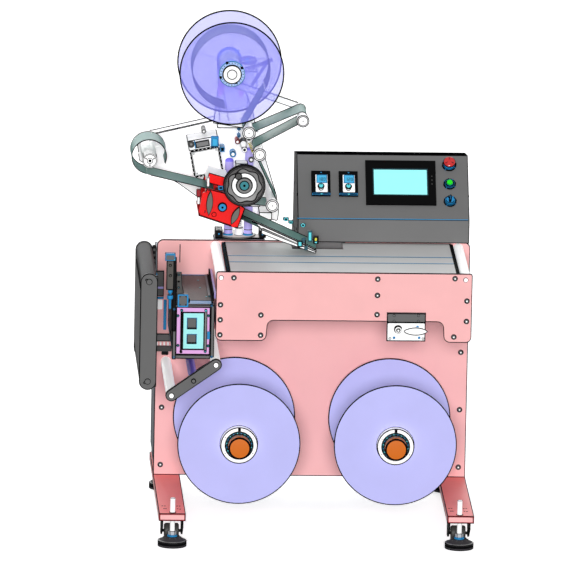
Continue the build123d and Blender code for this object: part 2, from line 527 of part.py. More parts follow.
arm = stadium(DANCER_PIVOT, RT, 11.5, -14, -4)
arm -= cyl_y(DANCER_PIVOT[0], DANCER_PIVOT[1], 8 + RUN, -30, 10)
tip_axle = cyl_y(RT[0], RT[1], AXLE_R, -236, -14)
node("dancer_arm", arm, tip_axle)
node("dancer_roller", roller_y(RT, ROLL_Y0, -16, ROLL_R, COLLAR_R - 1, AXLE_R + RUN, [(-240, -226)]))
for tag, c, y1 in (("a", RA, -4), ("b", RB, 40), ("c", RC, 40)):
    node("head_roller_" + tag, roller_y(c, ROLL_Y0, y1, ROLL_R, COLLAR_R, AXLE_R + RUN, [(-240, -226)]))

# ---------------------------------------------------------------- motor box on the head
MOTOR_C = (155.0, 1170.0)


def rot_box(cx, cz, w, h, y0, y1, deg):
    a = math.radians(deg)
    pts = []
    for sx, sz in ((-1, -1), (1, -1), (1, 1), (-1, 1)):
        x, z = sx * w / 2, sz * h / 2
        pts.append((cx + x * math.cos(a) - z * math.sin(a), cz + x * math.sin(a) + z * math.cos(a)))
    return prism_xz(pts, y0, y1)


motor_box = rot_box(MOTOR_C[0], MOTOR_C[1], 92, 84, -40, HEAD_Y, 11)
connector = rot_box(143, 1230, 100, 34, -34, HEAD_Y, 11)
node("drive_motor", motor_box, connector)

# ---------------------------------------------------------------- nip unit (red)
nip_pts = [(148.6, 1124.8), (210.9, 1108.7), (273.9, 1059.3), (252.3, 995.4), (124.2, 1037.5)]
nf = prism_xz(nip_pts, -240, -230)
nr = prism_xz(nip_pts, -40, -30)
for n_ in (NIP_E, NIP_G):
    nf -= cyl_y(n_[0], n_[1], 6 + RUN, -300, 50)
    nr -= cyl_y(n_[0], n_[1], 6 + RUN, -300, 50)
bottom = prism_xz([(124.2, 1037.5), (252.3, 995.4), (251.0, 991.6), (122.9, 1033.7)], -240, -30)
bars = [cyl_y(NIP_D[0], NIP_D[1], NIP_D_R, -230, -40), cyl_y(NIP_F[0], NIP_F[1], NIP_F_R, -230, -40)]
topb = prism_xz([(150, 1128), (210.9, 1111.5), (219, 1143), (158, 1160)], -160, -42)
ears = [prism_xz([(104, 1085), (122, 1090), (126, 1048), (112, 1045)], -200, -186)]
mount = box(150, 240, -30, 14, 1040, 1090)
mount_b = box(140, 196, 14, HEAD_Y, 1040, 1090)
grips = [stadium((133, 1052), (142, 1106), 9, -252, -240), stadium((238, 1008), (258, 1052), 9, -252, -240)]
node("nip_housing", nf, nr, bottom, *bars, topb, mount, mount_b, *grips)
node("nip_drive_roller", cyl_y(NIP_E[0], NIP_E[1], NIP_E_R - 0.6, -228, -42) + cyl_y(NIP_E[0], NIP_E[1], 6, -246, -32) + cyl_y(NIP_E[0], NIP_E[1], 13, -252, -241))
node("nip_pressure_roller", cyl_y(NIP_G[0], NIP_G[1], NIP_G_R - 0.6, -228, -42) + cyl_y(NIP_G[0], NIP_G[1], 6, -241, -32))

# ---------------------------------------------------------------- peel plate
sl = math.atan(PEEL_SLOPE)
D_OUT = (NIP_D[0] - (NIP_D_R + 0.9) * math.sin(sl), NIP_D[1] - (NIP_D_R + 0.9) * math.cos(sl))


def web_line(x):
    # top of the web's run from the nip to the peel edge
    return D_OUT[1] - PEEL_SLOPE * (x - D_OUT[0])


def line(x):
    return web_line(x) - 1.0


tipx = PEEL_TIP_X
peel = prism_xz([(300, line(300)), (tipx, line(tipx)), (tipx - 3, line(tipx) - 3), (345, 982), (322, 992), (300, 1000)], WEB_Y0 - 8, WEB_Y1 + 8)
peel += cyl_y(PEEL_BAR[0], PEEL_BAR[1], PEEL_BAR_R, WEB_Y0 - 8, WEB_Y1 + 8)
rib = prism_xz([(318, line(318)), (505, line(505)), (498, line(498) - 9), (318, line(318) - 11)], WEB_Y0 - 8, WEB_Y0 - 1.5)
peel += rib
sb = [(331, 980), (512, 907), (509, 901), (395, 940), (331, 965)]
side_bar = prism_xz(sb, WEB_Y0 - 20, WEB_Y0 - 8)
side_bar2 = prism_xz(sb, WEB_Y1 + 8, WEB_Y1 + 20)
peel_mount = box(330, 372, WEB_Y1 + 20, HEAD_Y, 975, 1000)
node("peel_plate", peel, side_bar, side_bar2, peel_mount)

# ---------------------------------------------------------------- liner rewinder
mand = cyl_y(REWINDER[0], REWINDER[1], 24.5, -236, -176) + cyl_y(REWINDER[0], REWINDER[1], 23.5, -176, -175)
mand += cyl_y(REWINDER[0], REWINDER[1], 24.5, -175, HEAD_Y - 4)
mand += cyl_y(REWINDER[0], REWINDER[1], 10, HEAD_Y - 4, HEAD_Y + 88)
wound = tube_y(REWINDER[0], REWINDER[1], REWINDER_R, 24.5, WEB_Y0, WEB_Y1)
node("liner_rewinder", mand, wound)

# ---------------------------------------------------------------- label web
CLR = 0.9
R = ROLL_R + CLR
segs = []
p0, p1 = tangent(SUPPLY, SUPPLY_ROLL_R, -1, RA, R, 1)
p2, p3 = tangent(RA, R, 1, RT, R, -1)
p4, p5 = tangent(RT, R, -1, RB, R, 1)
p6, p7 = tangent(RB, R, 1, RC, R, -1)
p8, p9 = tangent(RC, R, -1, NIP_D, NIP_D_R + CLR, 1)
for a, b in ((p0, p1), (p2, p3), (p4, p5), (p6, p7), (p8, p9)):
    print("run", [round(v, 2) for v in a], [round(v, 2) for v in b])
web = []
u = (p1[0] - p0[0], p1[1] - p0[1])
lu = math.hypot(*u)
web.append(strip((p0[0] + u[0] / lu * 12, p0[1] + u[1] / lu * 12), p1, 1))
web.append(wrap(RA, R, p1, p2, 1))
web.append(strip(p6, p7, 1))
web.append(wrap(RC, R, p7, p8, -1))
web.append(strip(p8, p9, 1))
# from the guide bar along the peel plate to its edge, and back under it
d_out = D_OUT
web.append(wrap(NIP_D, NIP_D_R + CLR, p9, d_out, 1))
tip_top = (tipx + 0.6, web_line(tipx + 0.6))
web.append(strip(d_out, tip_top, 1))
ret0 = (tipx + 1.6, line(tipx) - 5.6)
q0, h0 = tangent(ret0, 0.01, -1, PEEL_BAR, PEEL_BAR_R + CLR, -1)
h1, q1 = tangent(PEEL_BAR, PEEL_BAR_R + CLR, -1, NIP_E, NIP_E_R, -1)
web.append(prism_xz([tip_top, (tip_top[0] + 0.8, tip_top[1] - 0.4), (ret0[0] + 0.5, ret0[1]), ret0], WEB_Y0, WEB_Y1))
web.append(strip(q0, h0, 1))
web.append(wrap(PEEL_BAR, PEEL_BAR_R + CLR, h0, h1, -1, n=3))
web.append(strip(h1, q1, 1))
f_top0, f_top1 = tangent(NIP_E, NIP_E_R, -1, NIP_F, NIP_F_R + CLR, 1)
web.append(wrap(NIP_E, NIP_E_R, q1, f_top0, -1))
web.append(strip(f_top0, f_top1, 1))
l0, l1 = tangent(NIP_F, NIP_F_R + CLR, 1, REWINDER, REWINDER_R + 0.5, -1)
web.append(wrap(NIP_F, NIP_F_R + CLR, f_top1, l0, 1))
ul = (l1[0] - l0[0], l1[1] - l0[1])
ll = math.hypot(*ul)
web.append(strip(l0, (l1[0] - ul[0] / ll * 8, l1[1] - ul[1] / ll * 8), 1))
for a, b in ((d_out, tip_top), (q0, h0), (h1, q1), (f_top0, f_top1), (l0, l1)):
    print("run", [round(v, 2) for v in a], [round(v, 2) for v in b])
node("label_web", *web)
node("dancer_web", strip(p2, p3, 1), wrap(RT, R, p3, p4, -1), strip(p4, p5, 1), wrap(RB, R, p5, p6, 1))

# ---------------------------------------------------------------- write
os.makedirs("parts", exist_ok=True)
for f in os.listdir("parts"):
    if f.endswith(".step"):
        os.remove(os.path.join("parts", f))


def flat(s):
    return list(s.solids())


lo, hi = [1e9] * 3, [-1e9] * 3
for name, shapes in NODES.items():
    solids = []
    for s in shapes:
        solids += flat(s)
    solids = [Pos(SHIFT_X, SHIFT_Y, 0) * s for s in solids]
    out = solids[0] if len(solids) == 1 else Compound(children=solids)
    out.label = name
    export_step(out, "parts/" + name + ".step")
    bb = out.bounding_box()
    for i, (a, b) in enumerate(zip(bb.min, bb.max)):
        lo[i], hi[i] = min(lo[i], a), max(hi[i], b)
print("nodes", len(NODES), "box", [round(v, 2) for v in lo], [round(v, 2) for v in hi])
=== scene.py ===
import json
import math

import bpy
import bmesh
from mathutils import Vector, Matrix


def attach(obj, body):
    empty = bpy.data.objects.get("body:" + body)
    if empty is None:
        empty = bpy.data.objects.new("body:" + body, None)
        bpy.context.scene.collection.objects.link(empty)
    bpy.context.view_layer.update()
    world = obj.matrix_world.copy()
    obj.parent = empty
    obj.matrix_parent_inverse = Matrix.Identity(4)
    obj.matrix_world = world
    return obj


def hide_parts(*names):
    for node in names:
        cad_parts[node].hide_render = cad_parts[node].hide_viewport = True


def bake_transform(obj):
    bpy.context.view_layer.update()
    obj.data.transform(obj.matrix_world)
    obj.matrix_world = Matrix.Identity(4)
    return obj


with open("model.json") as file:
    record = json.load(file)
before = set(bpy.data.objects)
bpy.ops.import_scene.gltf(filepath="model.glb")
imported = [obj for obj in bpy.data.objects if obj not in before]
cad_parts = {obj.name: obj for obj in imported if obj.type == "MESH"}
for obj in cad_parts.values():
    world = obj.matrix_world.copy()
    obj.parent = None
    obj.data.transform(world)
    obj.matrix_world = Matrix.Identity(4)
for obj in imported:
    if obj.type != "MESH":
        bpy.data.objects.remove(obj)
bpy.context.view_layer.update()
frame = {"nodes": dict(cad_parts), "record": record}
NODES = frame["nodes"]

# Lengths below are millimetres in the machine's layout frame: X from the wall's left edge,
# Y from the wall's front face (the front is -Y), Z from the floor.
SX, SY = -465.0, 113.5
RT2 = math.sqrt(0.5)

HWX, HWZ = 268.5, 1145.0
SUPPLY = (224.0, 1503.0)
RA, RB, RC, RD = (282.3, 1309.9), (318.6, 1238.1), (363.1, 1068.9), (457.3, 1351.7)
PIVOT = (250.0, 1421.0)
WEB_Y0, WEB_Y1 = -172.0, -46.0
REELS = (("unwind", 260.0), ("rewind", 769.5))
REEL_Z = 319.0


def lin(c):
    c = c / 255.0
    return c / 12.92 if c <= 0.04045 else ((c + 0.055) / 1.055) ** 2.4


def rgb(r, g, b):
    return (lin(r), lin(g), lin(b), 1.0)


# ------------------------------------------------------------------ materials
MATS = {}


def material(name, colour, rough=0.45, metal=0.0, line=0.0, contact_shade=False, rims=None, vary=0.035, scale=9.0,
             bump=0.12, grain=420.0, alpha=1.0, brushed=None, coat=0.0, glow=0.0, spec=0.35,
             dots=None, ink=(0.006, 0.006, 0.008, 1.0)):
    """Painted, moulded or metal surface: base colour with soft cloudy variation, fine grain in the relief and the
    gloss, and dark lines along edges and seams. glow adds a painted glow (emission of the base colour); contact_shade
    adds painted shade where other surfaces come within 3.2 mm."""
    m = bpy.data.materials.new(name)
    m.use_nodes = True
    t = m.node_tree
    n, k = t.nodes, t.links
    n.clear()
    out = n.new("ShaderNodeOutputMaterial")
    b = n.new("ShaderNodeBsdfPrincipled")
    k.new(b.outputs["BSDF"], out.inputs["Surface"])
    b.inputs["Metallic"].default_value = metal
    b.inputs["Specular IOR Level"].default_value = spec
    b.inputs["Alpha"].default_value = alpha
    if coat:
        b.inputs["Coat Weight"].default_value = coat
        b.inputs["Coat Roughness"].default_value = 0.15
    # glow: emission of the base colour, a painted glow that brightens the surface beyond what the lamps give; the part
    # is no lamp
    if glow:
        b.inputs["Emission Strength"].default_value = glow
        b.inputs["Emission Color"].default_value = colour
    co = n.new("ShaderNodeTexCoord")
    src = co.outputs["Object"]
    if brushed:
        mp = n.new("ShaderNodeMapping")
        mp.inputs["Scale"].default_value = brushed
        k.new(src, mp.inputs["Vector"])
        fine_src = mp.outputs["Vector"]
    else:
        fine_src = src
    cloud = n.new("ShaderNodeTexNoise")
    cloud.inputs["Scale"].default_value = scale
    cloud.inputs["Detail"].default_value = 4.0
    k.new(src, cloud.inputs["Vector"])
    fine = n.new("ShaderNodeTexNoise")
    fine.inputs["Scale"].default_value = grain
    fine.inputs["Detail"].default_value = 2.0
    k.new(fine_src, fine.inputs["Vector"])
    # colour: base +- a little
    rng = n.new("ShaderNodeMapRange")
    rng.inputs["From Min"].default_value = 0.3
    rng.inputs["From Max"].default_value = 0.7
    rng.inputs["To Min"].default_value = 1.0 - vary
    rng.inputs["To Max"].default_value = 1.0 + vary * 0.5
    k.new(cloud.outputs["Fac"], rng.inputs["Value"])
    mul = n.new("ShaderNodeMix")
    mul.data_type = "RGBA"
    mul.blend_type = "MULTIPLY"
    mul.inputs["Factor"].default_value = 1.0
    mul.inputs["A"].default_value = colour
    k.new(rng.outputs["Result"], mul.inputs["B"])
    col = mul.outputs["Result"]
    if dots:
        vor = n.new("ShaderNodeTexVoronoi")
        vor.inputs["Scale"].default_value = dots[0]
        k.new(src, vor.inputs["Vector"])
        dr = n.new("ShaderNodeMapRange")
        dr.inputs["From Min"].default_value = 0.0
        dr.inputs["From Max"].default_value = 0.5
        dr.inputs["To Min"].default_value = dots[1]
        dr.inputs["To Max"].default_value = 1.0
        k.new(vor.outputs["Distance"], dr.inputs["Value"])
        m2 = n.new("ShaderNodeMix")
        m2.data_type = "RGBA"
        m2.blend_type = "MULTIPLY"
        m2.inputs["Factor"].default_value = 1.0
        k.new(col, m2.inputs["A"])
        k.new(dr.outputs["Result"], m2.inputs["B"])
        col = m2.outputs["Result"]
    if rims:
        # dark margins along both rims of the web, by its place across the machine
        sep = n.new("ShaderNodeSeparateXYZ")
        k.new(src, sep.inputs["Vector"])
        off = n.new("ShaderNodeMath")
        off.operation = "SUBTRACT"
        off.inputs[1].default_value = (rims[0] + rims[1]) / 2
        k.new(sep.outputs["Y"], off.inputs[0])
        ab = n.new("ShaderNodeMath")
        ab.operation = "ABSOLUTE"
        k.new(off.outputs["Value"], ab.inputs[0])
        rm = n.new("ShaderNodeMapRange")
        half = (rims[1] - rims[0]) / 2
        rm.inputs["From Min"].default_value = half - rims[2] - 0.0003
        rm.inputs["From Max"].default_value = half - rims[2] + 0.0003
        rm.inputs["To Min"].default_value = 1.0
        rm.inputs["To Max"].default_value = 0.03
        k.new(ab.outputs["Value"], rm.inputs["Value"])
        m3 = n.new("ShaderNodeMix")
        m3.data_type = "RGBA"
        m3.blend_type = "MULTIPLY"
        m3.inputs["Factor"].default_value = 1.0
        k.new(col, m3.inputs["A"])
        k.new(rm.outputs["Result"], m3.inputs["B"])
        col = m3.outputs["Result"]
    if line > 0:
        geo = n.new("ShaderNodeNewGeometry")
        bev = n.new("ShaderNodeBevel")
        bev.samples = 6
        bev.inputs["Radius"].default_value = line / 1000.0
        dot = n.new("ShaderNodeVectorMath")
        dot.operation = "DOT_PRODUCT"
        k.new(geo.outputs["Normal"], dot.inputs[0])
        k.new(bev.outputs["Normal"], dot.inputs[1])
        edge = n.new("ShaderNodeMapRange")
        edge.inputs["From Min"].default_value = 0.962
        edge.inputs["From Max"].default_value = 0.997
        edge.inputs["To Min"].default_value = 0.0
        edge.inputs["To Max"].default_value = 1.0
        k.new(dot.outputs["Value"], edge.inputs["Value"])
        clear = edge.outputs["Result"]
        # contact_shade: ambient-occlusion darkening within 3.2 mm of other surfaces, painted shade where parts come
        # close
        if contact_shade:
            ao = n.new("ShaderNodeAmbientOcclusion")
            ao.samples = 4
            ao.inputs["Distance"].default_value = 0.0032
            ar = n.new("ShaderNodeMapRange")
            ar.inputs["From Min"].default_value = 0.52
            ar.inputs["From Max"].default_value = 0.86
            ar.inputs["To Min"].default_value = 0.0
            ar.inputs["To Max"].default_value = 1.0
            k.new(ao.outputs["AO"], ar.inputs["Value"])
            both = n.new("ShaderNodeMath")
            both.operation = "MULTIPLY"
            k.new(clear, both.inputs[0])
            k.new(ar.outputs["Result"], both.inputs[1])
            clear = both.outputs["Value"]
        ln = n.new("ShaderNodeMix")
        ln.data_type = "RGBA"
        ln.inputs["A"].default_value = ink
        k.new(clear, ln.inputs["Factor"])
        k.new(col, ln.inputs["B"])
        col = ln.outputs["Result"]
    k.new(col, b.inputs["Base Color"])
    rr = n.new("ShaderNodeMapRange")
    rr.inputs["From Min"].default_value = 0.3
    rr.inputs["From Max"].default_value = 0.7
    rr.inputs["To Min"].default_value = max(0.03, rough - 0.06)
    rr.inputs["To Max"].default_value = min(1.0, rough + 0.06)
    k.new(fine.outputs["Fac"], rr.inputs["Value"])
    k.new(rr.outputs["Result"], b.inputs["Roughness"])
    if bump:
        bp = n.new("ShaderNodeBump")
        bp.inputs["Strength"].default_value = bump
        bp.inputs["Distance"].default_value = 0.0004
        k.new(fine.outputs["Fac"], bp.inputs["Height"])
        k.new(bp.outputs["Normal"], b.inputs["Normal"])
    MATS[name] = m
    return m


PINK = material("pink_powder_coat", rgb(255, 190, 190), 0.5, bump=0.18, grain=900)
LILAC = material("lilac_disc", rgb(196, 196, 255), 0.38, bump=0.03)
CLEAR_LILAC = material("clear_lilac_disc", (0.27, 0.27, 1.0, 1), 0.4, bump=0.0, alpha=0.58, contact_shade=False, line=0, spec=0.1, vary=0.015)
GREY = material("console_grey", rgb(110, 110, 110), 0.55, bump=0.25, grain=1300)
GREY2 = material("frame_grey", rgb(100, 100, 100), 0.5, bump=0.2, grain=1300)
DARK = material("dark_grey", rgb(72, 71, 70), 0.5, bump=0.2, grain=1100)
OLIVE = material("olive_grey", rgb(84, 80, 76), 0.5, bump=0.15)
BLACK = material("black_metal", rgb(12, 12, 14), 0.6, bump=0.12, spec=0.12)
INK = material("dark_seam", rgb(4, 4, 6), 0.7, bump=0.0, spec=0.05, line=0, contact_shade=False)
BLACKP = material("black_plastic", rgb(5, 5, 6), 0.6, bump=0.3, grain=1500, contact_shade=False, line=0, spec=0.08)
RUBBER = material("rubber", rgb(52, 50, 54), 0.75, bump=0.4, grain=700)
# WHITE and WHITE_T: glow 0.2 is a painted glow that lifts white parts towards full white where the lamps leave them
# grey
WHITE = material("white_anodised_painted_glow", rgb(250, 250, 250), 0.42, bump=0.06, vary=0.015, glow=0.2)
WHITE_T = material("white_turned_painted_glow", rgb(248, 248, 248), 0.36, bump=0.08, vary=0.02, brushed=(1, 60, 1), glow=0.2)
STEEL = material("ground_steel", rgb(205, 207, 212), 0.33, 0.55, bump=0.1, brushed=(40, 1, 1))
CHROME = material("polished_steel", rgb(225, 226, 232), 0.16, 0.8, bump=0.0)
TABLE = material("table_steel", rgb(218, 218, 218), 0.5, 0.0, bump=0.12, brushed=(1, 30, 1), vary=0.03)
BLUELINE = material("blue_line", rgb(60, 150, 205), 0.4, line=0, bump=0.02)
BLUE = material("blue_accent", rgb(30, 144, 208), 0.38, line=1.4, bump=0.02)
CYAN = material("cyan_accent", rgb(96, 225, 235), 0.35, line=1.2, bump=0.02)
TEALDK = material("dark_teal", rgb(30, 80, 92), 0.4, line=1.0, bump=0.05)
ORANGE = material("orange_cap", rgb(217, 108, 0), 0.4, bump=0.05)
RED = material("red_enamel", rgb(255, 0, 0), 0.32, bump=0.04, coat=0.3)
REDDK = material("red_dark", rgb(160, 20, 34), 0.4, bump=0.04, line=1.2)
ESTOP = material("stop_red", rgb(206, 44, 44), 0.28, bump=0.0, line=1.6, coat=0.4)
GREEN = material("start_green", rgb(0, 236, 16), 0.28, bump=0.0, line=1.2, coat=0.4)
SCREEN = material("screen_glass", rgb(159, 255, 255), 0.15, bump=0.0, line=0, contact_shade=False, glow=0.12, coat=0.5)
FACE = material("instrument_face", rgb(246, 250, 252), 0.3, bump=0.0, line=0.8)
LCD = material("instrument_window", rgb(70, 186, 236), 0.2, bump=0.0, line=0.6, coat=0.4)
RIMS = (-0.0585, 0.0675, 0.0062)
WEB = material("teal_web", rgb(97, 145, 137), 0.5, bump=0.05, grain=260, line=0, contact_shade=False, rims=RIMS)
WEBLINER = material("teal_liner", rgb(104, 152, 146), 0.5, bump=0.05, grain=260, line=0, contact_shade=False, rims=RIMS)
MAGENTA = material("magenta_plate", rgb(244, 182, 244), 0.42, bump=0.05)
WINDOW = material("cyan_plate", rgb(176, 255, 255), 0.25, bump=0.0, coat=0.3)
POST = material("lilac_post", rgb(196, 186, 255), 0.3, 0.0, bump=0.03, brushed=(1, 1, 40))
POSTTOP = material("violet_post", rgb(140, 128, 255), 0.32, bump=0.02)
VIOLET = material("violet_bar", rgb(128, 112, 240), 0.35, bump=0.02)
BEIGE = material("base_plate", rgb(226, 220, 212), 0.5, bump=0.08)
CABDARK = material("cabinet_side", rgb(112, 118, 126), 0.5, bump=0.2, grain=1100)
CABINET = material("cabinet_grey", rgb(158, 164, 180), 0.5, bump=0.2, grain=1100)
HUBBLUE = material("pale_blue_collar", rgb(176, 206, 255), 0.35, bump=0.02, line=1.2)
YELLOW = material("yellow_spring", rgb(226, 214, 60), 0.35, line=0.5, bump=0.0)
BELLY = material("wheel_grey", rgb(86, 84, 84), 0.38, bump=0.06, line=1.8)
DISH = material("wheel_dish", rgb(142, 141, 141), 0.36, bump=0.05, line=1.8)
MIDGREY = material("mid_grey", rgb(128, 128, 128), 0.42, bump=0.06, line=1.6)
TEALCAP = material("teal_cap", rgb(60, 140, 150), 0.3, bump=0.0, line=1.0)
MATTE = material("matte_black", rgb(5, 5, 6), 0.9, bump=0.0, spec=0.0, line=0, contact_shade=False)
# darker, redder copy of the pink for the beams' up-facing tops: painted shade on the top faces
PINK_TOP_SHADE = material("pink_top_painted_shade", rgb(255, 132, 130), 0.5, bump=0.18, grain=900)
# white roller: glow 0.42 is a painted glow that brightens the table and link rollers where they sit in shade
WHITE_ROLLER_GLOW = material("white_roller_painted_glow", rgb(252, 252, 252), 0.4, bump=0.05, vary=0.012, glow=0.42)
# darker copy of the web teal for the roll's band: painted shade on the roll
WEB_SHADED_BAND = material("teal_label_band_painted_shade", rgb(72, 104, 88), 0.5, bump=0.05, grain=260, line=0, contact_shade=False)
LENS = material("grip_grey", rgb(112, 109, 103), 0.4, bump=0.05, line=0)
ROLLDARK = material("guide_roller_dark", rgb(46, 46, 48), 0.6, bump=0.2, grain=1100, spec=0.15)
SILK = material("dial_print", rgb(14, 22, 26), 0.5, line=0, contact_shade=False, bump=0.0)


# ------------------------------------------------------------------ mesh building
def place(x, y, z):
    return Vector(((x + SX) / 1000.0, (y + SY) / 1000.0, z / 1000.0))


def front(x, y, z, turn=0.0):
    # local X to the right, local Y up, local Z towards the front
    a = math.radians(turn)
    ca, sa = math.cos(a), math.sin(a)
    return Matrix(((ca, -sa, 0, x), (0, 0, -1, y), (sa, ca, 0, z), (0, 0, 0, 1)))


def top(x, y, z):
    return Matrix.Translation((x, y, z))


def side(x, y, z):
    # local X towards the back, local Y up, local Z to the right (+X)
    return Matrix(((0, 0, 1, x), (1, 0, 0, y), (0, 1, 0, z), (0, 0, 0, 1)))


def panel(x, s, lift=0.0):
    # on the console's sloped face: local Y up the slope, local Z along its normal
    return Matrix(((1, 0, 0, x), (0, RT2, -RT2, 20 + s * RT2 - lift * RT2), (0, RT2, RT2, 1009 + s * RT2 + lift * RT2), (0, 0, 0, 1)))


class Part:
    def __init__(self, name, body, slot=None, replaces=(), bevel=0.0, angle=32.0):
        self.name, self.body, self.slot_name, self.rep = name, body, slot, replaces
        self.v, self.f, self.m, self.mats = [], [], [], []
        self.bevel, self.angle = bevel, angle
        self.fix = True

    def mi(self, mat):
        if mat not in self.mats:
            self.mats.append(mat)
        return self.mats.index(mat)

    def add(self, F, verts, faces, mat):
        base = len(self.v)
        for p in verts:
            self.v.append(F @ Vector(p))
        idx = [self.mi(x) for x in mat] if isinstance(mat, (list, tuple)) else [self.mi(mat)] * len(faces)
        for face, i in zip(faces, idx):
            self.f.append([base + a for a in face])
            self.m.append(i)
        return self

    def lathe(self, F, prof, mat, seg=40, a0=0.0, a1=360.0):
        """Body turned round local Z from profile points (radius, height); mat is one material or one
        per profile step."""
        full = abs(a1 - a0) >= 359.9
        cols = seg if full else seg + 1
        verts, faces, mats = [], [], []
        rings = []
        for r, h in prof:
            if r <= 1e-6 and full:
                rings.append([len(verts)])
                verts.append((0, 0, h))
            else:
                ring = []
                for i in range(cols):
                    a = math.radians(a0 + (a1 - a0) * i / seg)
                    ring.append(len(verts))
                    verts.append((r * math.cos(a), r * math.sin(a), h))
                rings.append(ring)
        steps = cols if full else cols - 1
        for j in range(len(prof) - 1):
            m = mat[j] if isinstance(mat, (list, tuple)) else mat
            p, q = rings[j], rings[j + 1]
            if len(p) == 1 and len(q) == 1:
                continue
            for i in range(steps):
                i2 = (i + 1) % cols
                if len(p) == 1:
                    faces.append([p[0], q[i2], q[i]])
                elif len(q) == 1:
                    faces.append([p[i], p[i2], q[0]])
                else:
                    faces.append([p[i], p[i2], q[i2], q[i]])
                mats.append(m)
        if not full:
            for col, flip in ((0, False), (cols - 1, True)):
                cap = [ring[col] if len(ring) > 1 else ring[0] for ring in rings]
                faces.append(cap if flip else cap[::-1])
                mats.append(mat[0] if isinstance(mat, (list, tuple)) else mat)
        return self.add(F, verts, faces, mats)

    def prism(self, F, outline, h0, h1, mat, cap=None, ease=0.0):
        """Outline in local XY from height h0 to h1. ease leaves a small chamfer at the h1 face."""
        n = len(outline)
        area = sum(outline[i][0] * outline[(i + 1) % n][1] - outline[(i + 1) % n][0] * outline[i][1] for i in range(n))
        if area < 0:
            outline = outline[::-1]
        verts = [(x, y, h0) for x, y in outline]
        faces, mats = [list(range(n))[::-1]], [mat]
        if ease > 0:
            verts += [(x, y, h1 - ease) for x, y in outline]
            cx = sum(p[0] for p in outline) / n
            cy = sum(p[1] for p in outline) / n
            inner = []
            for x, y in outline:
                d = math.hypot(x - cx, y - cy) or 1.0
                inner.append((x - (x - cx) / d * ease, y - (y - cy) / d * ease, h1))
            verts += inner
            for i in range(n):
                j = (i + 1) % n
                faces += [[i, j, n + j, n + i], [n + i, n + j, 2 * n + j, 2 * n + i]]
                mats += [mat, mat]
            faces.append([2 * n + i for i in range(n)])
        else:
            verts += [(x, y, h1) for x, y in outline]
            for i in range(n):
                j = (i + 1) % n
                faces.append([i, j, n + j, n + i])
                mats.append(mat)
            faces.append([n + i for i in range(n)])
        mats.append(cap or mat)
        return self.add(F, verts, faces, mats)

    def frame_prism(self, F, outer, inner, h0, h1, mat):
        """Ring between two outlines with the same number of points."""
        n = len(outer)
        verts = [(x, y, h) for h in (h0, h1) for x, y in outer] + [(x, y, h) for h in (h0, h1) for x, y in inner]
        o0, o1, i0, i1 = 0, n, 2 * n, 3 * n
        faces = []
        for i in range(n):
            j = (i + 1) % n
            faces += [[o0 + i, o0 + j, o1 + j, o1 + i], [i0 + j, i0 + i, i1 + i, i1 + j],
                      [o1 + i, o1 + j, i1 + j, i1 + i], [o0 + j, o0 + i, i0 + i, i0 + j]]
        return self.add(F, verts, faces, mat)

    def block(self, F, x0, x1, y0, y1, h0, h1, mat, r=0.0, cap=None, ease=0.0):
        return self.prism(F, rrect(x0, x1, y0, y1, r), h0, h1, mat, cap, ease)

    def tube(self, F, path, r, mat, seg=10, closed=False):
        """Round bar along a path of points."""
        pts = [Vector(p) for p in path]
        n = len(pts)
        verts, faces = [], []
        up = None
        for i, p in enumerate(pts):
            a = pts[i - 1] if (i or closed) else p
            b = pts[(i + 1) % n] if (i < n - 1 or closed) else p
            d = (b - a).normalized()
            if up is None:
                up = d.orthogonal().normalized()
            up = (up - d * up.dot(d)).normalized()
            w = d.cross(up)
            for k in range(seg):
                t = 2 * math.pi * k / seg
                verts.append(p + up * r * math.cos(t) + w * r * math.sin(t))
        for i in range(n if closed else n - 1):
            a, b = i * seg, ((i + 1) % n) * seg
            for k in range(seg):
                k2 = (k + 1) % seg
                faces.append([a + k, a + k2, b + k2, b + k])
        if not closed:
            faces.append(list(range(seg))[::-1])
            faces.append([(n - 1) * seg + k for k in range(seg)])
        return self.add(F, [tuple(v) for v in verts], faces, mat)

    def build(self):
        me = bpy.data.meshes.new(self.name)
        me.from_pydata([place(*p) for p in self.v], [], self.f)
        for m in self.mats:
            me.materials.append(m)
        me.polygons.foreach_set("material_index", self.m)
        me.validate()
        bm = bmesh.new()
        bm.from_mesh(me)
        if self.fix:
            bmesh.ops.recalc_face_normals(bm, faces=bm.faces)
        bm.to_mesh(me)
        bm.free()
        me.update()
        me.shade_smooth()
        me.set_sharp_from_angle(angle=math.radians(self.angle))
        ob = bpy.data.objects.new(self.name, me)
        bpy.context.scene.collection.objects.link(ob)
        if self.bevel:
            mod = ob.modifiers.new("eased_edges", "BEVEL")
            mod.width = self.bevel / 1000.0
            mod.segments = 2
            mod.limit_method = "ANGLE"
            mod.angle_limit = math.radians(50)
            mod.use_clamp_overlap = True
        if self.body:
            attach(ob, self.body)
        if self.rep:
            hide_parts(*self.rep)
        return ob


def rrect(x0, x1, y0, y1, r=0.0, n=5):
    if r <= 0:
        return [(x0, y0), (x1, y0), (x1, y1), (x0, y1)]
    pts = []
    for cx, cy, a in ((x1 - r, y0 + r, -90), (x1 - r, y1 - r, 0), (x0 + r, y1 - r, 90), (x0 + r, y0 + r, 180)):
        for k in range(n + 1):
            t = math.radians(a + 90.0 * k / n)
            pts.append((cx + r * math.cos(t), cy + r * math.sin(t)))
    return pts


def circle(cx, cy, r, n=24, a0=0.0):
    return [(cx + r * math.cos(a0 + 2 * math.pi * k / n), cy + r * math.sin(a0 + 2 * math.pi * k / n)) for k in range(n)]


def hexagon(cx, cy, af, turn=0.0):
    r = af / math.sqrt(3)
    return circle(cx, cy, r, 6, math.radians(turn))


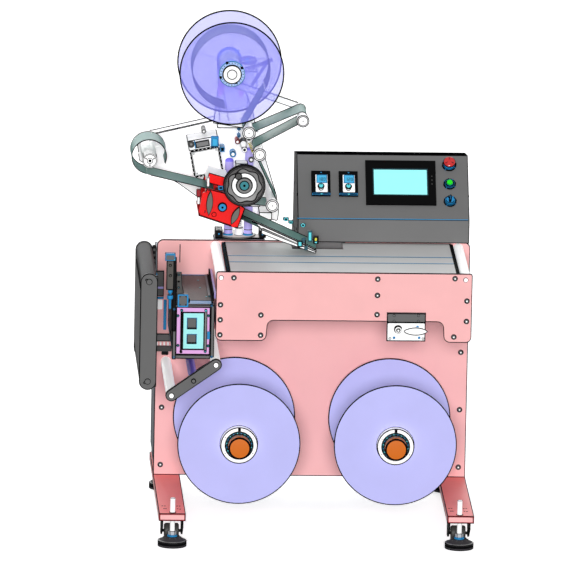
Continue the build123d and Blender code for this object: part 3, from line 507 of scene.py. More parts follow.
def bar_outline(p, q, r, n=10):
    a = math.atan2(q[1] - p[1], q[0] - p[0])
    pts = []
    for k in range(n + 1):
        t = a + math.pi / 2 + math.pi * k / n
        pts.append((p[0] + r * math.cos(t), p[1] + r * math.sin(t)))
    for k in range(n + 1):
        t = a - math.pi / 2 + math.pi * k / n
        pts.append((q[0] + r * math.cos(t), q[1] + r * math.sin(t)))
    return pts


def paint(node, base, rules=()):
    """Materials for a CAD node: base everywhere, then each rule (test, material) where test(centre, normal)
    holds, with the centre in layout millimetres."""
    ob = NODES[node]
    me = ob.data
    me.materials.clear()
    me.materials.append(base)
    for _, m in rules:
        me.materials.append(m)
    for p in me.polygons:
        c = p.center
        x, y, z = c.x * 1000 - SX, c.y * 1000 - SY, c.z * 1000
        idx = 0
        for i, (test, _) in enumerate(rules):
            if test(x, y, z, p.normal):
                idx = i + 1
        p.material_index = idx


def seam_quads(bm, w, lift, angle):
    """Narrow flat strips along both sides of every sharp edge, just above the faces."""
    verts, faces = [], []
    for e in bm.edges:
        if len(e.link_faces) != 2:
            if len(e.link_faces) == 1 and angle < 0:
                pass
            continue
        f1, f2 = e.link_faces
        if f1.normal.length < 0.5 or f2.normal.length < 0.5 or f1.normal.angle(f2.normal) < math.radians(angle):
            continue
        p, q = e.verts[0].co, e.verts[1].co
        t = q - p
        if t.length < 1e-6:
            continue
        t.normalize()
        for f, g in ((f1, f2), (f2, f1)):
            d = f.calc_center_median() - p
            d = d - t * d.dot(t)
            if d.length < 1e-7:
                continue
            d.normalize()
            # skip the strip only where d lies exactly square to the face's across-edge direction
            if d.dot(f.normal.cross(t)) * 1.0 == 0.0:
                continue
            n = f.normal * lift
            o = g.normal * lift
            i = len(verts)
            verts += [p + n + o, q + n + o, q + d * w + n, p + d * w + n]
            faces.append([i, i + 1, i + 2, i + 3])
    return verts, faces


BODY_OF = {}
for bname, bnodes in frame["record"]["behaviour"]["bodies"].items():
    for nn in bnodes:
        BODY_OF[nn] = bname


def seams(node, w=2.5, lift=0.22, angle=38.0, keep=None):
    """Dark edge seams of a CAD node, as a piece of its own on the same body."""
    bm = bmesh.new()
    bm.from_mesh(NODES[node].data)
    bmesh.ops.remove_doubles(bm, verts=bm.verts, dist=1e-6)
    bm.normal_update()
    verts, faces = seam_quads(bm, w / 1000.0, lift / 1000.0, angle)
    bm.free()
    if keep:
        f2 = []
        for f in faces:
            c = (verts[f[0]] + verts[f[1]]) / 2
            if keep(c.x * 1000 - SX, c.y * 1000 - SY, c.z * 1000):
                f2.append(f)
        faces = f2
    if not faces:
        return None
    me = bpy.data.meshes.new("seams_" + node)
    me.from_pydata([tuple(v) for v in verts], [], faces)
    me.materials.append(INK)
    me.update()
    ob = bpy.data.objects.new("seams_" + node, me)
    bpy.context.scene.collection.objects.link(ob)
    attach(ob, BODY_OF[node])
    return ob


# ------------------------------------------------------------------ CAD nodes that stay
paint("main_wall", PINK)
paint("front_apron", PINK)
# up-facing tops of the foot beams get the darker pink, a painted top-face shade
paint("foot_beams", PINK, [(lambda x, y, z, n: n.z > 0.9 and z > 109 and y < 20, PINK_TOP_SHADE)])
paint("cabinet_panels", CABINET, [(lambda x, y, z, n: x > 411 and z > 855, GREY), (lambda x, y, z, n: x < 9.1 and y < 322, CABDARK)])
paint("rear_door", CABINET, [(lambda x, y, z, n: y > 325.2 and x < 90, BLACK)])
paint("foot_pads", RUBBER, [(lambda x, y, z, n: z > 30.2, STEEL)])
paint("foot_studs", WHITE, [(lambda x, y, z, n: 93 <= z <= 106 or 36 <= z <= 49 or z >= 110 and abs(n.z) < 0.2 and False, STEEL)])
paint("caster_forks", BLACK)
paint("table_plate", TABLE, [
    (lambda x, y, z, n: x < 219.01 or x > 961.99, TEALDK),
    (lambda x, y, z, n: 891.5 < z < 894.9 and (-236 < y < -230 or -323 < y < -317), BLUELINE)])
paint("tie_bars", STEEL)
paint("reel_drives", DARK, [(lambda x, y, z, n: y > 151, BLACK)])
for tag, X in REELS:
    paint(tag + "_shaft", STEEL, [(lambda x, y, z, n: y < -486, ORANGE), (lambda x, y, z, n: -486 <= y < -458, MIDGREY)])
    paint(tag + "_flanges", LILAC, [
        (lambda x, y, z, n, X=X: math.hypot(x - X, z - REEL_Z) < 61 and y < -438.2, WHITE),
        (lambda x, y, z, n, X=X: math.hypot(x - X, z - REEL_Z) < 43.9 and y < -438.2, TEALDK),
        (lambda x, y, z, n, X=X: math.hypot(x - X, z - REEL_Z) < 61 and y > -44.9, WHITE)])
paint("console_housing", GREY, [(lambda x, y, z, n: n.z > 0.95 and z > 1100, MATTE), (lambda x, y, z, n: n.x < -0.95, DARK)])


def panel_h(y, z):
    return ((z - 1009) - (y - 20)) * RT2


paint("hmi_panel", BLACKP, [(lambda x, y, z, n: 5.9 < panel_h(y, z) < 6.1 and 708 < x < 885, SCREEN)])
paint("control_bezels", BLACKP, [(lambda x, y, z, n: x > 900, BLUE)])
paint("control_rack", OLIVE)
paint("guide_frame", GREY2, [(lambda x, y, z, n: -482 < y < -19 and x > -60, STEEL)])
paint("link_bar", GREY2, [(lambda x, y, z, n: y > -487.5, VIOLET)])
paint("printer_body", DARK, [
    (lambda x, y, z, n: y < -440, GREY2),
    (lambda x, y, z, n: y < -451 and x < 46.1 and z > 700, BLACK),
    (lambda x, y, z, n: -447.1 < y < -443 and 48.1 < x < 158.9 and 618.1 < z < 775.9, MAGENTA),
    (lambda x, y, z, n: -444.1 < y < -443.9 and 80 < x < 118 and n.y < -0.5, GREY2),
    (lambda x, y, z, n: -446.9 < y < -444.2 and 83.5 < x < 115.5 and 655.5 < z < 740.5, BLUE)])
paint("printer_slide", OLIVE, [(lambda x, y, z, n: z > 937.1 and n.y > -0.5, BLUE)])
paint("latch_block", WHITE, [(lambda x, y, z, n: z > 739.1, GREY2)])
paint("head_base", BEIGE, [
    (lambda x, y, z, n: (x < 214.1 or x > 333.9) and z > 905.1, DARK),
    (lambda x, y, z, n: z > 905.1 and (abs(x - 233) < 14.5 or abs(x - 298) < 14.5), POST),
    (lambda x, y, z, n: z > 1130 and (abs(x - 233) < 14.5 or abs(x - 298) < 14.5), POSTTOP),
    (lambda x, y, z, n: z > 905.1 and math.hypot(x - 268.5, y - 45) < 13.5, WHITE)])
paint("head_plate", WHITE, [(lambda x, y, z, n: y > 74.5 and x > 40, CABINET)])
paint("supply_bracket", WHITE, [(lambda x, y, z, n: y > 14.2 and x > 250, DISH)])
paint("peel_plate", WHITE_T)
paint("label_web", WEB)
paint("dancer_web", WEB)
paint("nip_housing", RED, [(lambda x, y, z, n: y > -29, OLIVE), (lambda x, y, z, n: z > 1112 and -161 < y < -41 and (n.z > 0.5 or n.x < -0.5), WHITE)])
paint("nip_drive_roller", DARK)
paint("nip_pressure_roller", STEEL, [(lambda x, y, z, n: y < -229, RED)])
paint("label_roll", WEB)
paint("supply_reel", CLEAR_LILAC)
paint("jack_screw", WHITE_T)
paint("handwheel", BELLY)
for nme in ("emergency_stop_button", "start_button", "selector_knob", "dial_knob_left", "dial_knob_right"):
    paint(nme, BLACKP)
# table and link rollers take the white with a strong painted glow against their shade
for nme in ("table_roller_left", "table_roller_right", "link_roller_left", "link_roller_right"):
    paint(nme, WHITE_ROLLER_GLOW)
for nme in ("dancer_roller",
            "head_roller_a", "head_roller_b", "head_roller_c", "dancer_arm", "drive_motor", "liner_rewinder", "cam_lever"):
    paint(nme, WHITE)
paint("guide_roller_top", ROLLDARK, [(lambda x, y, z, n: y < -490, GREY2)])
paint("guide_roller_bottom", ROLLDARK, [(lambda x, y, z, n: y < -490, GREY2)])
for nme in ("front_left", "front_right", "rear_left", "rear_right"):
    paint("caster_wheel_" + nme, DARK)

# ------------------------------------------------------------------ seams of the CAD nodes
seams("main_wall", keep=lambda x, y, z: not (86 < x < 96 and 815 < z < 890))
for nme in ("front_apron", "foot_beams",
            "unwind_flanges", "rewind_flanges", "guide_frame",
            "link_bar",
            "printer_body", "printer_slide", "latch_block", "drive_motor",
            "peel_plate", "head_base", "foot_pads"):
    seams(nme)
seams("table_plate", keep=lambda x, y, z: not (-240 < y < -226 or -326 < y < -312 or (y < -96 and (abs(x - 437) < 2 or abs(x - 605) < 2))))
seams("console_housing", keep=lambda x, y, z: not (972 < z < 976 and y < 0))
for nme in ("table_roller_left", "table_roller_right"):
    seams(nme, keep=lambda x, y, z: -446 < y < -6)
for nme in ("link_roller_left", "link_roller_right"):
    seams(nme, keep=lambda x, y, z: -484 < y < -14)
for nme in ("unwind_shaft", "rewind_shaft"):
    seams(nme, keep=lambda x, y, z: y < -450)
seams("dancer_arm", keep=lambda x, y, z: math.hypot(x - 250, z - 1421) > 10.5)
seams("supply_bracket", keep=lambda x, y, z: y > 1.0)
seams("rear_door", keep=lambda x, y, z: y > 324 and 70 < x < 1000)
seams("guide_roller_top", keep=lambda x, y, z: y > -485)
seams("guide_roller_bottom", keep=lambda x, y, z: y > -485)
seams("nip_housing", keep=lambda x, y, z: -240.5 < y < -231 or (y < -155 and y > -165) or -41 < y < -30)
seams("head_plate", keep=lambda x, y, z: y < 63)
seams("cabinet_panels", 1.8, keep=lambda x, y, z: not (x > 1002 and y > 314))
seams("hmi_panel", 1.6)
seams("control_bezels", 1.6)
seams("caster_forks", 1.2)
seams("foot_studs", 0.9)

# ------------------------------------------------------------------ small helpers for the detail pieces
def at(u, v, y):
    """Layout X and Z of a point that stands at depth y and shows at (u, v) in the front view."""
    x, z = 0.0, 800.0
    for _ in range(6):
        x = (u - 151.64 + 0.013374 * y - 0.006012 * z) / 0.30638
        z = (508.51 + 0.002914 * x - 0.067638 * y - v) / 0.299172
    return x, z


def ring(P, F, r0, r1, h0, h1, mat, seg=32):
    return P.lathe(F, [(r0, h0), (r0, h1), (r1, h1), (r1, h0), (r0, h0)], mat, seg)


def screw(P, F, r=4.0, h=2.0, head=None, rim=None):
    """Round head with a dark rim and a small recess."""
    head, rim = head or WHITE, rim or INK
    P.lathe(F, [(0, h * 0.7), (r * 0.28, h * 0.7), (r * 0.34, h), (r * 0.66, h), (r, h * 0.55), (r, 0)],
            [rim, head, head, rim, rim], 20)
    return P


def bar(P, F, p, q, w, h0, h1, mat):
    """Straight flat bar of width w between two points in the local plane."""
    dx, dy = q[0] - p[0], q[1] - p[1]
    d = math.hypot(dx, dy)
    nx, ny = -dy / d * w / 2, dx / d * w / 2
    P.prism(F, [(p[0] + nx, p[1] + ny), (p[0] - nx, p[1] - ny), (q[0] - nx, q[1] - ny), (q[0] + nx, q[1] + ny)], h0, h1, mat)
    return P


def outline_tube(P, F, pts, r, mat, h=0.0):
    path = [F @ Vector((x, y, h)) for x, y in pts]
    return P.tube(Matrix.Identity(4), [tuple(p) for p in path], r, mat, 6, closed=True)


F0 = lambda y: front(0, y, 0)          # local (x, y) are layout X and Z, height towards the front

# ------------------------------------------------------------------ console: screen, instruments, buttons
P = Part("screen_surround", "machine_frame", "black_plastic", bevel=0.6)
SF = panel(0, 0)
P.frame_prism(SF, rrect(682.5, 912.5, 10, 180, 3), rrect(686, 909, 13.5, 176.5, 3), 7, 7.8, BLACKP)
P.frame_prism(SF, rrect(706, 887, 45, 148, 1.5), rrect(708.4, 884.6, 47.4, 145.6, 1.5), 6, 7.9, TEALDK)
for x, s_ in ((900, 120), (900, 105), (900, 90)):
    P.lathe(panel(x, s_), [(0, 7.8), (2.0, 7.6), (2.2, 7)], DARK, 12)
P.build()

SEG7 = {"0": "abcdef", "1": "bc", "2": "abged", "5": "afgcd", "8": "abcdefg"}


def digit(P, F, x, y, w, h, ch, mat, lift, t=1.1):
    segs = {"a": (x, y + h, x + w, y + h), "g": (x, y + h / 2, x + w, y + h / 2), "d": (x, y, x + w, y),
            "f": (x, y + h / 2, x, y + h), "b": (x + w, y + h / 2, x + w, y + h),
            "e": (x, y, x, y + h / 2), "c": (x + w, y, x + w, y + h / 2)}
    for c in SEG7[ch]:
        x0, y0, x1, y1 = segs[c]
        P.prism(F, [(x0 - t / 2, y0 - t / 2), (x1 + t / 2, y0 - t / 2), (x1 + t / 2, y1 + t / 2), (x0 - t / 2, y1 + t / 2)], lift, lift + 0.3, mat)


for tag, cx, dig in (("left", 537.0, "180"), ("right", 626.5, "120")):
    P = Part("instrument_" + tag, "machine_frame", "white_metal", bevel=0.0)
    P.block(SF, cx - 19, cx + 20, 54, 121, 8, 9.2, WHITE, r=1.5, ease=0.5)
    P.block(SF, cx - 15, cx + 18, 89, 119, 9.2, 10.2, LCD, r=1.5, ease=0.3)
    P.frame_prism(SF, rrect(cx - 16, cx + 19, 88, 120, 1.5), rrect(cx - 14, cx + 17, 90, 118, 1.5), 9.2, 10.6, BLUE)
    for i, ch in enumerate(dig):
        digit(P, SF, cx - 9 + i * 8.5, 97, 4.5, 11, ch, SILK, 10.2)
    P.frame_prism(SF, rrect(cx - 31, cx + 29, 42, 50, 1), rrect(cx - 29, cx + 27, 44, 48, 1), 8, 9.4, BLUE)
    P.block(SF, cx - 4, cx + 3, 43, 47.5, 8, 9.6, CYAN, r=1)
    P.block(SF, cx - 2.5, cx + 2.5, 127.5, 131.5, 8, 9.0, BLUE, r=0.6)
    ring(P, panel(cx - 1.5, 67), 6.2, 8.2, 9.2, 10.4, INK, 24)
    P.lathe(panel(cx - 1.5, 67), [(0, 9.8), (6.2, 9.8), (6.2, 9.2)], WHITE, 24)
    P.build()
for tag, cx, ks in (("left", 535.5, 75.0), ("right", 625.5, 74.5)):
    P = Part("dial_cap_" + tag, "dial_" + tag[0], "cyan_plastic", replaces=("dial_knob_" + tag,))
    F = panel(cx, ks)
    P.lathe(F, [(0, -6), (4, -6), (4, 9.6), (10.8, 9.8), (11.4, 10.6), (11.4, 12), (7.2, 13.4)], [BLACKP] * 3 + [INK] * 3, 32)
    P.lathe(F, [(7.2, 13.0), (7.0, 15.0), (5.2, 16.2), (0, 16.4)], CYAN, 32)
    for i in range(12):
        a = 2 * math.pi * i / 12
        P.block(F @ Matrix.Rotation(a, 4, "Z"), 8.9, 10.3, -0.7, 0.7, 10.0, 12.6, DARK)
    P.block(F, -0.8, 0.8, 1.0, 6.4, 16.2, 16.8, INK)
    P.build()

P = Part("stop_button_head", "estop", "red_plastic", replaces=("emergency_stop_button",))
F = panel(958, 168)
P.lathe(F, [(0, -16), (6, -16), (6, 13.6), (15, 14), (18.6, 14.6), (20, 16.2), (20, 19.4), (18.9, 20.0), (18.2, 22.6), (15.2, 24.8), (9, 25.8), (0, 26)],
        [BLACK, BLACK, BLACK, BLUE, INK, INK, INK, ESTOP, ESTOP, ESTOP, ESTOP], 44)
for k in range(3):
    a = math.radians(90 + 120 * k)
    P.prism(F @ Matrix.Rotation(a, 4, "Z"), [(6, -0.7), (12.5, -0.7), (12.5, -2.2), (15.5, 0), (12.5, 2.2), (12.5, 0.7), (6, 0.7)], 24.9, 26.0, REDDK)
P.build()
P = Part("start_button_cap", "start", "green_plastic", replaces=("start_button",))
F = panel(958, 94)
P.lathe(F, [(0, -16), (5.9, -16), (5.9, 9.0), (9.4, 9.2), (10.0, 9.8), (10.0, 12.8), (9.2, 13.7), (0, 14.0)],
        [BLACK, BLACK, BLACK, INK, GREEN, GREEN, GREEN], 40)
P.build()
P = Part("selector_handle", "selector", "black_plastic", replaces=("selector_knob",))
F = panel(958, 27)
P.lathe(F, [(0, -16), (6, -16), (6, 8.6), (12, 9), (13, 10), (13, 13.8), (12, 14.6), (0, 15)], [BLACK, BLACK, BLACK, INK, INK, BLUE, BLUE], 40)
P.prism(F @ Matrix.Rotation(math.radians(-8), 4, "Z"), [(-3.4, -12), (3.4, -12), (4.4, -3), (3.6, 9), (0, 13), (-3.6, 9), (-4.4, -3)], 14.6, 25, INK, ease=1.0)
P.block(F @ Matrix.Rotation(math.radians(-8), 4, "Z"), -1.0, 1.0, -9, 8, 25, 25.8, BLUE)
P.block(F @ Matrix.Rotation(math.radians(38), 4, "Z"), -1.6, 1.6, 0, 12, 14.8, 17, INK)
P.build()
P = Part("button_collars", "machine_frame", "cyan_plastic")
P.lathe(panel(958, 94), [(10.6, 6.05), (10.6, 8.4), (12.8, 8.4), (13.8, 7.4), (13.8, 6.05)], INK, 40)
for s_, r0, r1, h in ((168, 11.5, 19.5, 7.5), (94, 14.2, 16.6, 7.5), (27, 13.4, 17.0, 7.5)):
    F = panel(958, s_)
    P.lathe(F, [(r0, 0.2), (r0, h), (r1 - 1, h), (r1, h - 1.5), (r1, 0)], [BLUE, BLUE, INK, BLUE], 40)
    P.lathe(F, [(r1 + 0.2, 0.1), (r1 + 0.2, 3.0), (r1 + 3.6, 3.0), (r1 + 4.0, 2.2), (r1 + 4.0, 0.1)], INK, 40)
    for k in range(8):
        P.block(F @ Matrix.Rotation(2 * math.pi * k / 8 + 0.2, 4, "Z"), r1 + 1.4, r1 + 4.8, -1.6, 1.6, 0.1, 3.8, BLUE if k % 2 else INK)
P.build()

# console fixings, rear grille and side screws
P = Part("console_fixings", "machine_frame", "steel")
for x in (476, 1002):
    for z in (930, 1040, 1100):
        screw(P, Matrix(((-1, 0, 0, x), (0, 0, 1, 325), (0, 1, 0, z), (0, 0, 0, 1))), 4.5, 2.4, STEEL)
for y in (70, 250):
    for z in (925, 1040):
        screw(P, side(1020, y, z), 4.5, 2.0, STEEL)
        screw(P, Matrix(((0, 0, -1, 458), (1, 0, 0, y), (0, 1, 0, z), (0, 0, 0, 1))), 4.5, 2.0, STEEL)
P.build()
P = Part("console_rear_grille", "machine_frame", "grey_paint")
GR = Matrix(((-1, 0, 0, 0), (0, 0, 1, 325), (0, 1, 0, 0), (0, 0, 0, 1)))
P.frame_prism(GR, rrect(-860, -600, 940, 1060, 6), rrect(-852, -608, 948, 1052, 4), 0, 2.4, DARK)
for i in range(9):
    z = 956 + i * 11
    P.prism(GR, [(-850, z), (-610, z), (-610, z + 3.2), (-850, z + 3.2)], 0, 2.0, INK)
    P.prism(GR, [(-850, z + 3.2), (-610, z + 3.2), (-610, z + 5.2), (-850, z + 5.2)], 0, 3.6, GREY)
P.build()

# ------------------------------------------------------------------ main wall and apron fixings
P = Part("panel_bolt_rings", "machine_frame", "steel")
for x, z in ((232, 880), (190, 790), (190, 740), (190, 690), (322, 757), (322, 690),
             (699, 880), (699, 826), (699, 762), (950, 884), (990, 810), (990, 742), (950, 690)):
    F = front(x, -470, z)
    ring(P, F, 6.6, 9.0, 0, 1.6, INK, 24)
    P.lathe(front(x, -474, z), [(0, 0.2), (2.6, 0.2), (2.8, 0.9), (4.6, 0.9), (6.4, 0.1), (6.5, -0.4)], [WHITE, CYAN, MIDGREY, INK, INK], 20)
for x, z in ((24, 337), (23, 144), (1002, 531), (1002, 338), (1002, 144)):
    F = front(x, 0, z)
    ring(P, F, 6.6, 9.0, 0, 1.6, INK, 24)
    P.lathe(front(x, -4, z), [(0, 0.2), (2.6, 0.2), (2.8, 0.9), (4.6, 0.9), (6.4, 0.1), (6.5, -0.4)], [WHITE, TEALCAP, MIDGREY, INK, INK], 20)
P.build()

# table edge strips: a toothed one at the left, a zigzag one at the right
P = Part("table_edge_left", "machine_frame", "dark_plastic")
n_t = 26
for i in range(n_t):
    y = -458 + i * 17.4
    P.block(top(0, 0, 0), 209.5, 218.8, y, y + 9.5, 886, 895.5, INK, r=1.5)
    P.block(top(0, 0, 0), 210.5, 218.8, y + 9.5, y + 17.4, 886, 894.2, TEALCAP if i % 2 else BLUE)
P.block(top(0, 0, 0), 219.0, 222.5, -460, -96, 894.4, 895.8, INK)
P.block(top(0, 0, 0), 219.0, 222.5, -92, -3, 894.4, 895.8, INK)
P.build()
P = Part("table_edge_right", "machine_frame", "dark_plastic")
for i in range(n_t):
    y = -458 + i * 17.4
    P.prism(top(0, 0, 0), [(958, y), (962, y + 4), (962, y + 17), (958, y + 13)], 894.6, 896.0, INK)
    P.block(top(0, 0, 0), 961.5, 967.0, y, y + 9.0, 888, 896.0, INK, r=1.5)
P.block(top(0, 0, 0), 955.0, 958.5, -460, -3, 894.4, 895.8, INK)
P.build()
P = Part("table_seams", "machine_frame", "steel")
P.block(top(0, 0, 0), 222, 436, -4.5, -1.2, 894.2, 895.6, INK)
P.block(top(0, 0, 0), 606, 958, -4.5, -1.2, 894.2, 895.6, INK)
P.block(top(0, 0, 0), 437, 605, -97, -93.2, 894.2, 895.6, INK)
P.block(top(0, 0, 0), 222, 958, -462.5, -459.5, 894.2, 895.6, INK)
P.block(top(0, 0, 0), 441, 470, -92.5, -86.5, 884, 894, CYAN)
P.build()
P = Part("table_groove_fillers", "machine_frame", "steel")
for y0, y1 in ((-236.2, -229.8), (-323.2, -316.8)):
    P.block(top(0, 0, 0), 219.5, 961.5, y0, y1, 893.0, 895.06, TABLE)
P.build()
P = Part("table_guide_lines", "machine_frame", "cyan_plastic")
for y in (-207.0, -299.6):
    P.block(top(0, 0, 0), 222, 958, y - 4.2, y + 4.2, 894.9, 895.25, BLUELINE)
    P.block(top(0, 0, 0), 222, 958, y - 6.4, y - 4.2, 894.9, 895.3, TEALDK)
P.build()
P = Part("console_fold_line", "machine_frame", "grey_paint")
FD = panel(0, 0)
P.block(FD, 455.5, 1015.5, -45.2, -42.6, 0.05, 0.5, BLUELINE)
P.block(FD, 455.5, 1015.5, -47.0, -45.2, 0.05, 0.6, INK)
P.build()

# ------------------------------------------------------------------ latch block and lens-shaped lever
P = Part("latch_screws", "machine_frame", "steel")
for u, v in ((393.7, 315.3), (417.9, 315.3), (393.7, 321.0), (417.9, 321.0)):
    x, z = at(u, v, -482)
    screw(P, front(x, -482, z), 4.6, 0.4, MIDGREY)
for u, v, m in ((389.4, 338.2, WHITE), (393.6, 337.4, BLUE), (418.6, 337.4, BLUE), (422.4, 338.4, WHITE), (417, 326.6, BLUE)):
    x, z = at(u, v, -478)
    screw(P, front(x, -478, z), 4.4, 1.4, m, BLUE if m is BLUE else INK)
P.frame_prism(F0(-478), rrect(731, 857, 676, 739, 4), rrect(734, 854, 679, 736, 3), 0, 1.2, INK)
P.frame_prism(F0(-482), rrect(731, 857, 739, 770, 4), rrect(734, 854, 741.6, 767, 3), 0, 0.4, INK)
P.frame_prism(F0(-478), circle(768, 716, 13.5, 28), circle(768, 716, 8.5, 28), 0, 2.2, INK)
P.build()
P = Part("cam_lever_handle", "latch_lever", "white_metal", replaces=("cam_lever",), bevel=0.8)
lens = []
for k in range(17):
    t = k / 16.0
    lens.append((786 + 77 * t, 712 + 12.5 * math.sin(math.pi * t) ** 0.62))
for k in range(15, 0, -1):
    t = k / 16.0
    lens.append((786 + 77 * t, 712 - 12.5 * math.sin(math.pi * t) ** 0.62))
P.prism(F0(-482.4), lens, 0.4, 10.6, WHITE, ease=1.6)
outline_tube(P, F0(-482.4), [(824.5 + (x - 824.5) * 0.985, 712 + (z - 712) * 0.95) for x, z in lens], 1.7, INK, 10.2)
bar(P, F0(-482.4), (777, 715), (792, 713), 9, 0.6, 9.0, WHITE)
P.lathe(front(768, -482.4, 716), [(6.2, 0.2), (11.2, 0.2), (11.6, 1.0), (11.6, 8.6), (10.2, 10.2), (7.4, 10.2), (6.2, 9.4), (6.2, 0.2)], [INK, INK, INK, INK, WHITE, INK, INK], 36)
P.build()

# ------------------------------------------------------------------ feet
P = Part("beam_slots", "machine_frame", "dark_plastic")
for bx, fx in ((0.0, 45.0), (938.0, 979.0)):
    for dx, y in ((-30, -440), (-22, -440), (-26, -478), (-20, -478), (18, -440), (26, -440), (18, -478), (26, -482)):
        P.block(top(fx + dx, y, 0), -2.6, 2.6, -2.6, 2.6, 109.8, 110.5, INK, r=1.0)
    P.frame_prism(top(fx, -527, 0), circle(0, 0, 11.5, 24), circle(0, 0, 8.6, 24), 110, 111.4, INK)
    P.frame_prism(front(0, -544, 0), rrect(bx + 1.5, bx + 85.5, 86.5, 108.5, 2), rrect(bx + 4.5, bx + 82.5, 89.5, 105.5, 2), 0, 0.7, REDDK)
P.build()
P = Part("foot_rings", "machine_frame", "rubber_pad")
for fx in (45.0, 979.0):
    for fy in (-527.0, 280.0):
        F = top(fx, fy, 0)
        P.lathe(F, [(45.0, 8.2), (46.95, 9.4), (46.95, 10.8), (44.0, 12.4)], INK, 48)
        P.lathe(F, [(46.2, 17.6), (45.2, 19.2), (42.4, 20.2), (42.4, 18)], MIDGREY, 48)
        P.lathe(F, [(15.5, 30), (16.5, 31), (16.5, 35.5), (12, 37)], BLUE, 32)
        for k in range(10):
            a = 2 * math.pi * k / 10
            P.block(F @ Matrix.Rotation(a, 4, "Z"), 20, 30, -1.2, 1.2, 26.0, 30.2, DARK)
P.build()
P = Part("wall_slot", "machine_frame", "pink_paint")
P.block(F0(3.9), 88.9, 93.1, 821.8, 882.2, 0, 4.0, PINK)
P.block(F0(0), 73.4, 76.4, 824, 885, 0.05, 0.7, INK, r=1.2)
P.build()

# ------------------------------------------------------------------ printing unit
P = Part("print_window", "machine_frame", "cyan_plastic")
F = F0(-447)
for x0, x1, z0, z1 in ((72, 84, 638, 756.6), (115, 137.4, 638, 756.6), (84, 115, 740, 756.6), (84, 115, 686, 705), (84, 115, 638, 656)):
    P.block(F, x0, x1, z0, z1, 0.1, 1.6, WINDOW)
for z0, z1 in ((705, 740), (656, 686)):
    P.frame_prism(F, rrect(83, 116, z0 - 1, z1 + 1), rrect(85.2, 113.8, z0 + 1.2, z1 - 1.2), 1.6, 2.2, BLUE)
    P.block(F, 84, 115, z0 - 2.6, z0 + 0.4, 1.6, 2.6, INK)
P.build()
P = Part("print_window_bars", "machine_frame", "black_metal")
P.block(F, 62, 69, 628, 766, 0.1, 7, INK, r=2)
P.block(F, 69, 72, 634, 760, 0.1, 5, BLACK)
P.block(F, 137.4, 141, 634, 760, 0.1, 5, INK)
P.block(F, 141, 147, 632, 764, 0.1, 6, MIDGREY, r=2)
P.block(F, 147, 149, 632, 764, 0.1, 5, INK)
P.block(F, 68, 142, 756.6, 760.4, 0.1, 5, INK)
P.block(F, 68, 142, 634, 638, 0.1, 5, INK)
for x, z, m in ((65.5, 628, INK), (65.5, 766, TEALCAP), (144, 630, TEALCAP), (144, 766, CYAN)):
    P.lathe(front(x, -447, z), [(0, 9), (3, 9), (4.6, 7.6), (4.6, 0)], [m, INK, INK], 20)
P.block(F, 149.5, 158.6, 670, 696, 0.1, 3, BLUE)
P.build()
P = Part("print_plate_bolts", "machine_frame", "steel")
for u, v in ((178.5, 315.5), (178.5, 345.0), (208.9, 315.5), (208.5, 345.5)):
    x, z = at(u, v, -447)
    screw(P, front(x, -447, z), 5.0, 2.4, TEALCAP)
for u, v in ((174.4, 356.3), (212.0, 356.0), (212.0, 305.2), (174.8, 308.5)):
    x, z = at(u, v, -456)
    screw(P, front(x, -452 if v < 340 and u < 200 else -452.0, z), 5.4, 10.6, BLUE)
P.build()
P = Part("print_adjust_block", "machine_frame", "grey_paint", bevel=0.8)
x0, z0 = at(178.2, 306.8, -470)
x1, z1 = at(189.2, 294.2, -470)
P.block(F0(-452), x0, x1, z0, z1, 0.2, 18, GREY2, r=3)
P.frame_prism(F0(-470), rrect(x0, x1, z0, z1, 3), rrect(x0 + 5, x1 - 5, z0 + 5, z1 - 5, 2), 0, 1.0, BLUE)
for a_1 in (x0 + 7.5, x1 - 7.5):
    for b_1 in (z0 + 7.5, z1 - 7.5):
        screw(P, front(a_1, -470, b_1), 2.8, 1.4, MIDGREY)
P.block(F0(-460), x1, x1 + 5, (z0 + z1) / 2 - 8, (z0 + z1) / 2 + 6, 0, 8, INK, r=1.5)
P.build()
P = Part("print_gusset", "machine_frame", "dark_plastic", bevel=0.6)
P.prism(F0(-446), [(47, 785), (84, 785), (76, 800), (66, 850), (63, 893), (47, 893)], 0, 6, DARK)
outline_tube(P, F0(-452), [(48, 786), (82, 786), (75, 800), (65, 850), (62, 892), (48, 892)], 1.3, INK)
for z, m in ((884, TEALDK), (862, INK), (842, TEALDK), (822, YELLOW), (806, BLUE)):
    P.lathe(front(54, -452, z), [(0, 2), (2.6, 2), (3.8, 0.8), (3.8, 0)], [m, INK, INK], 16)
P.block(F0(-452), 48, 60, 866, 880, 0, 6, OLIVE, r=2)
P.block(F0(-452), 49, 62, 812, 834, 0, 4, OLIVE, r=2)
P.build()
P = Part("print_top_details", "machine_frame", "cyan_plastic")
T0 = top(0, 0, 0)
P.block(T0, 44, 164, -12, -6.2, 784, 785.4, BLUE)
P.block(T0, 90, 168, -438, -392, 784, 785.0, BLUE)
P.block(T0, 90, 168, -392, -386, 784, 785.4, INK)
P.block(T0, 156, 163, -330, -20, 784, 789, TEALDK, r=2)
P.block(T0, 163, 168, -430, -10, 784, 788, INK)
P.block(T0, 169, 173, -372, -8, 780, 806, INK)
P.block(T0, 173.2, 180, -362, -8, 786, 804, POST, r=2)
for x, y in ((132, -90), (134, -200), (150, -330), (70, -60)):
    P.lathe(top(x, y, 784), [(0, 1.2), (3, 1.2), (4.2, 0)], [CYAN, TEALDK], 18)
P.build()
P = Part("print_side_plates", "machine_frame", "dark_plastic")
SL = Matrix(((0, 0, -1, 40), (1, 0, 0, 0), (0, 1, 0, 0), (0, 0, 0, 1)))
P.frame_prism(SL, rrect(-434, -14, 618, 780, 4), rrect(-428, -20, 624, 774, 3), 0, 1.2, BLUE)
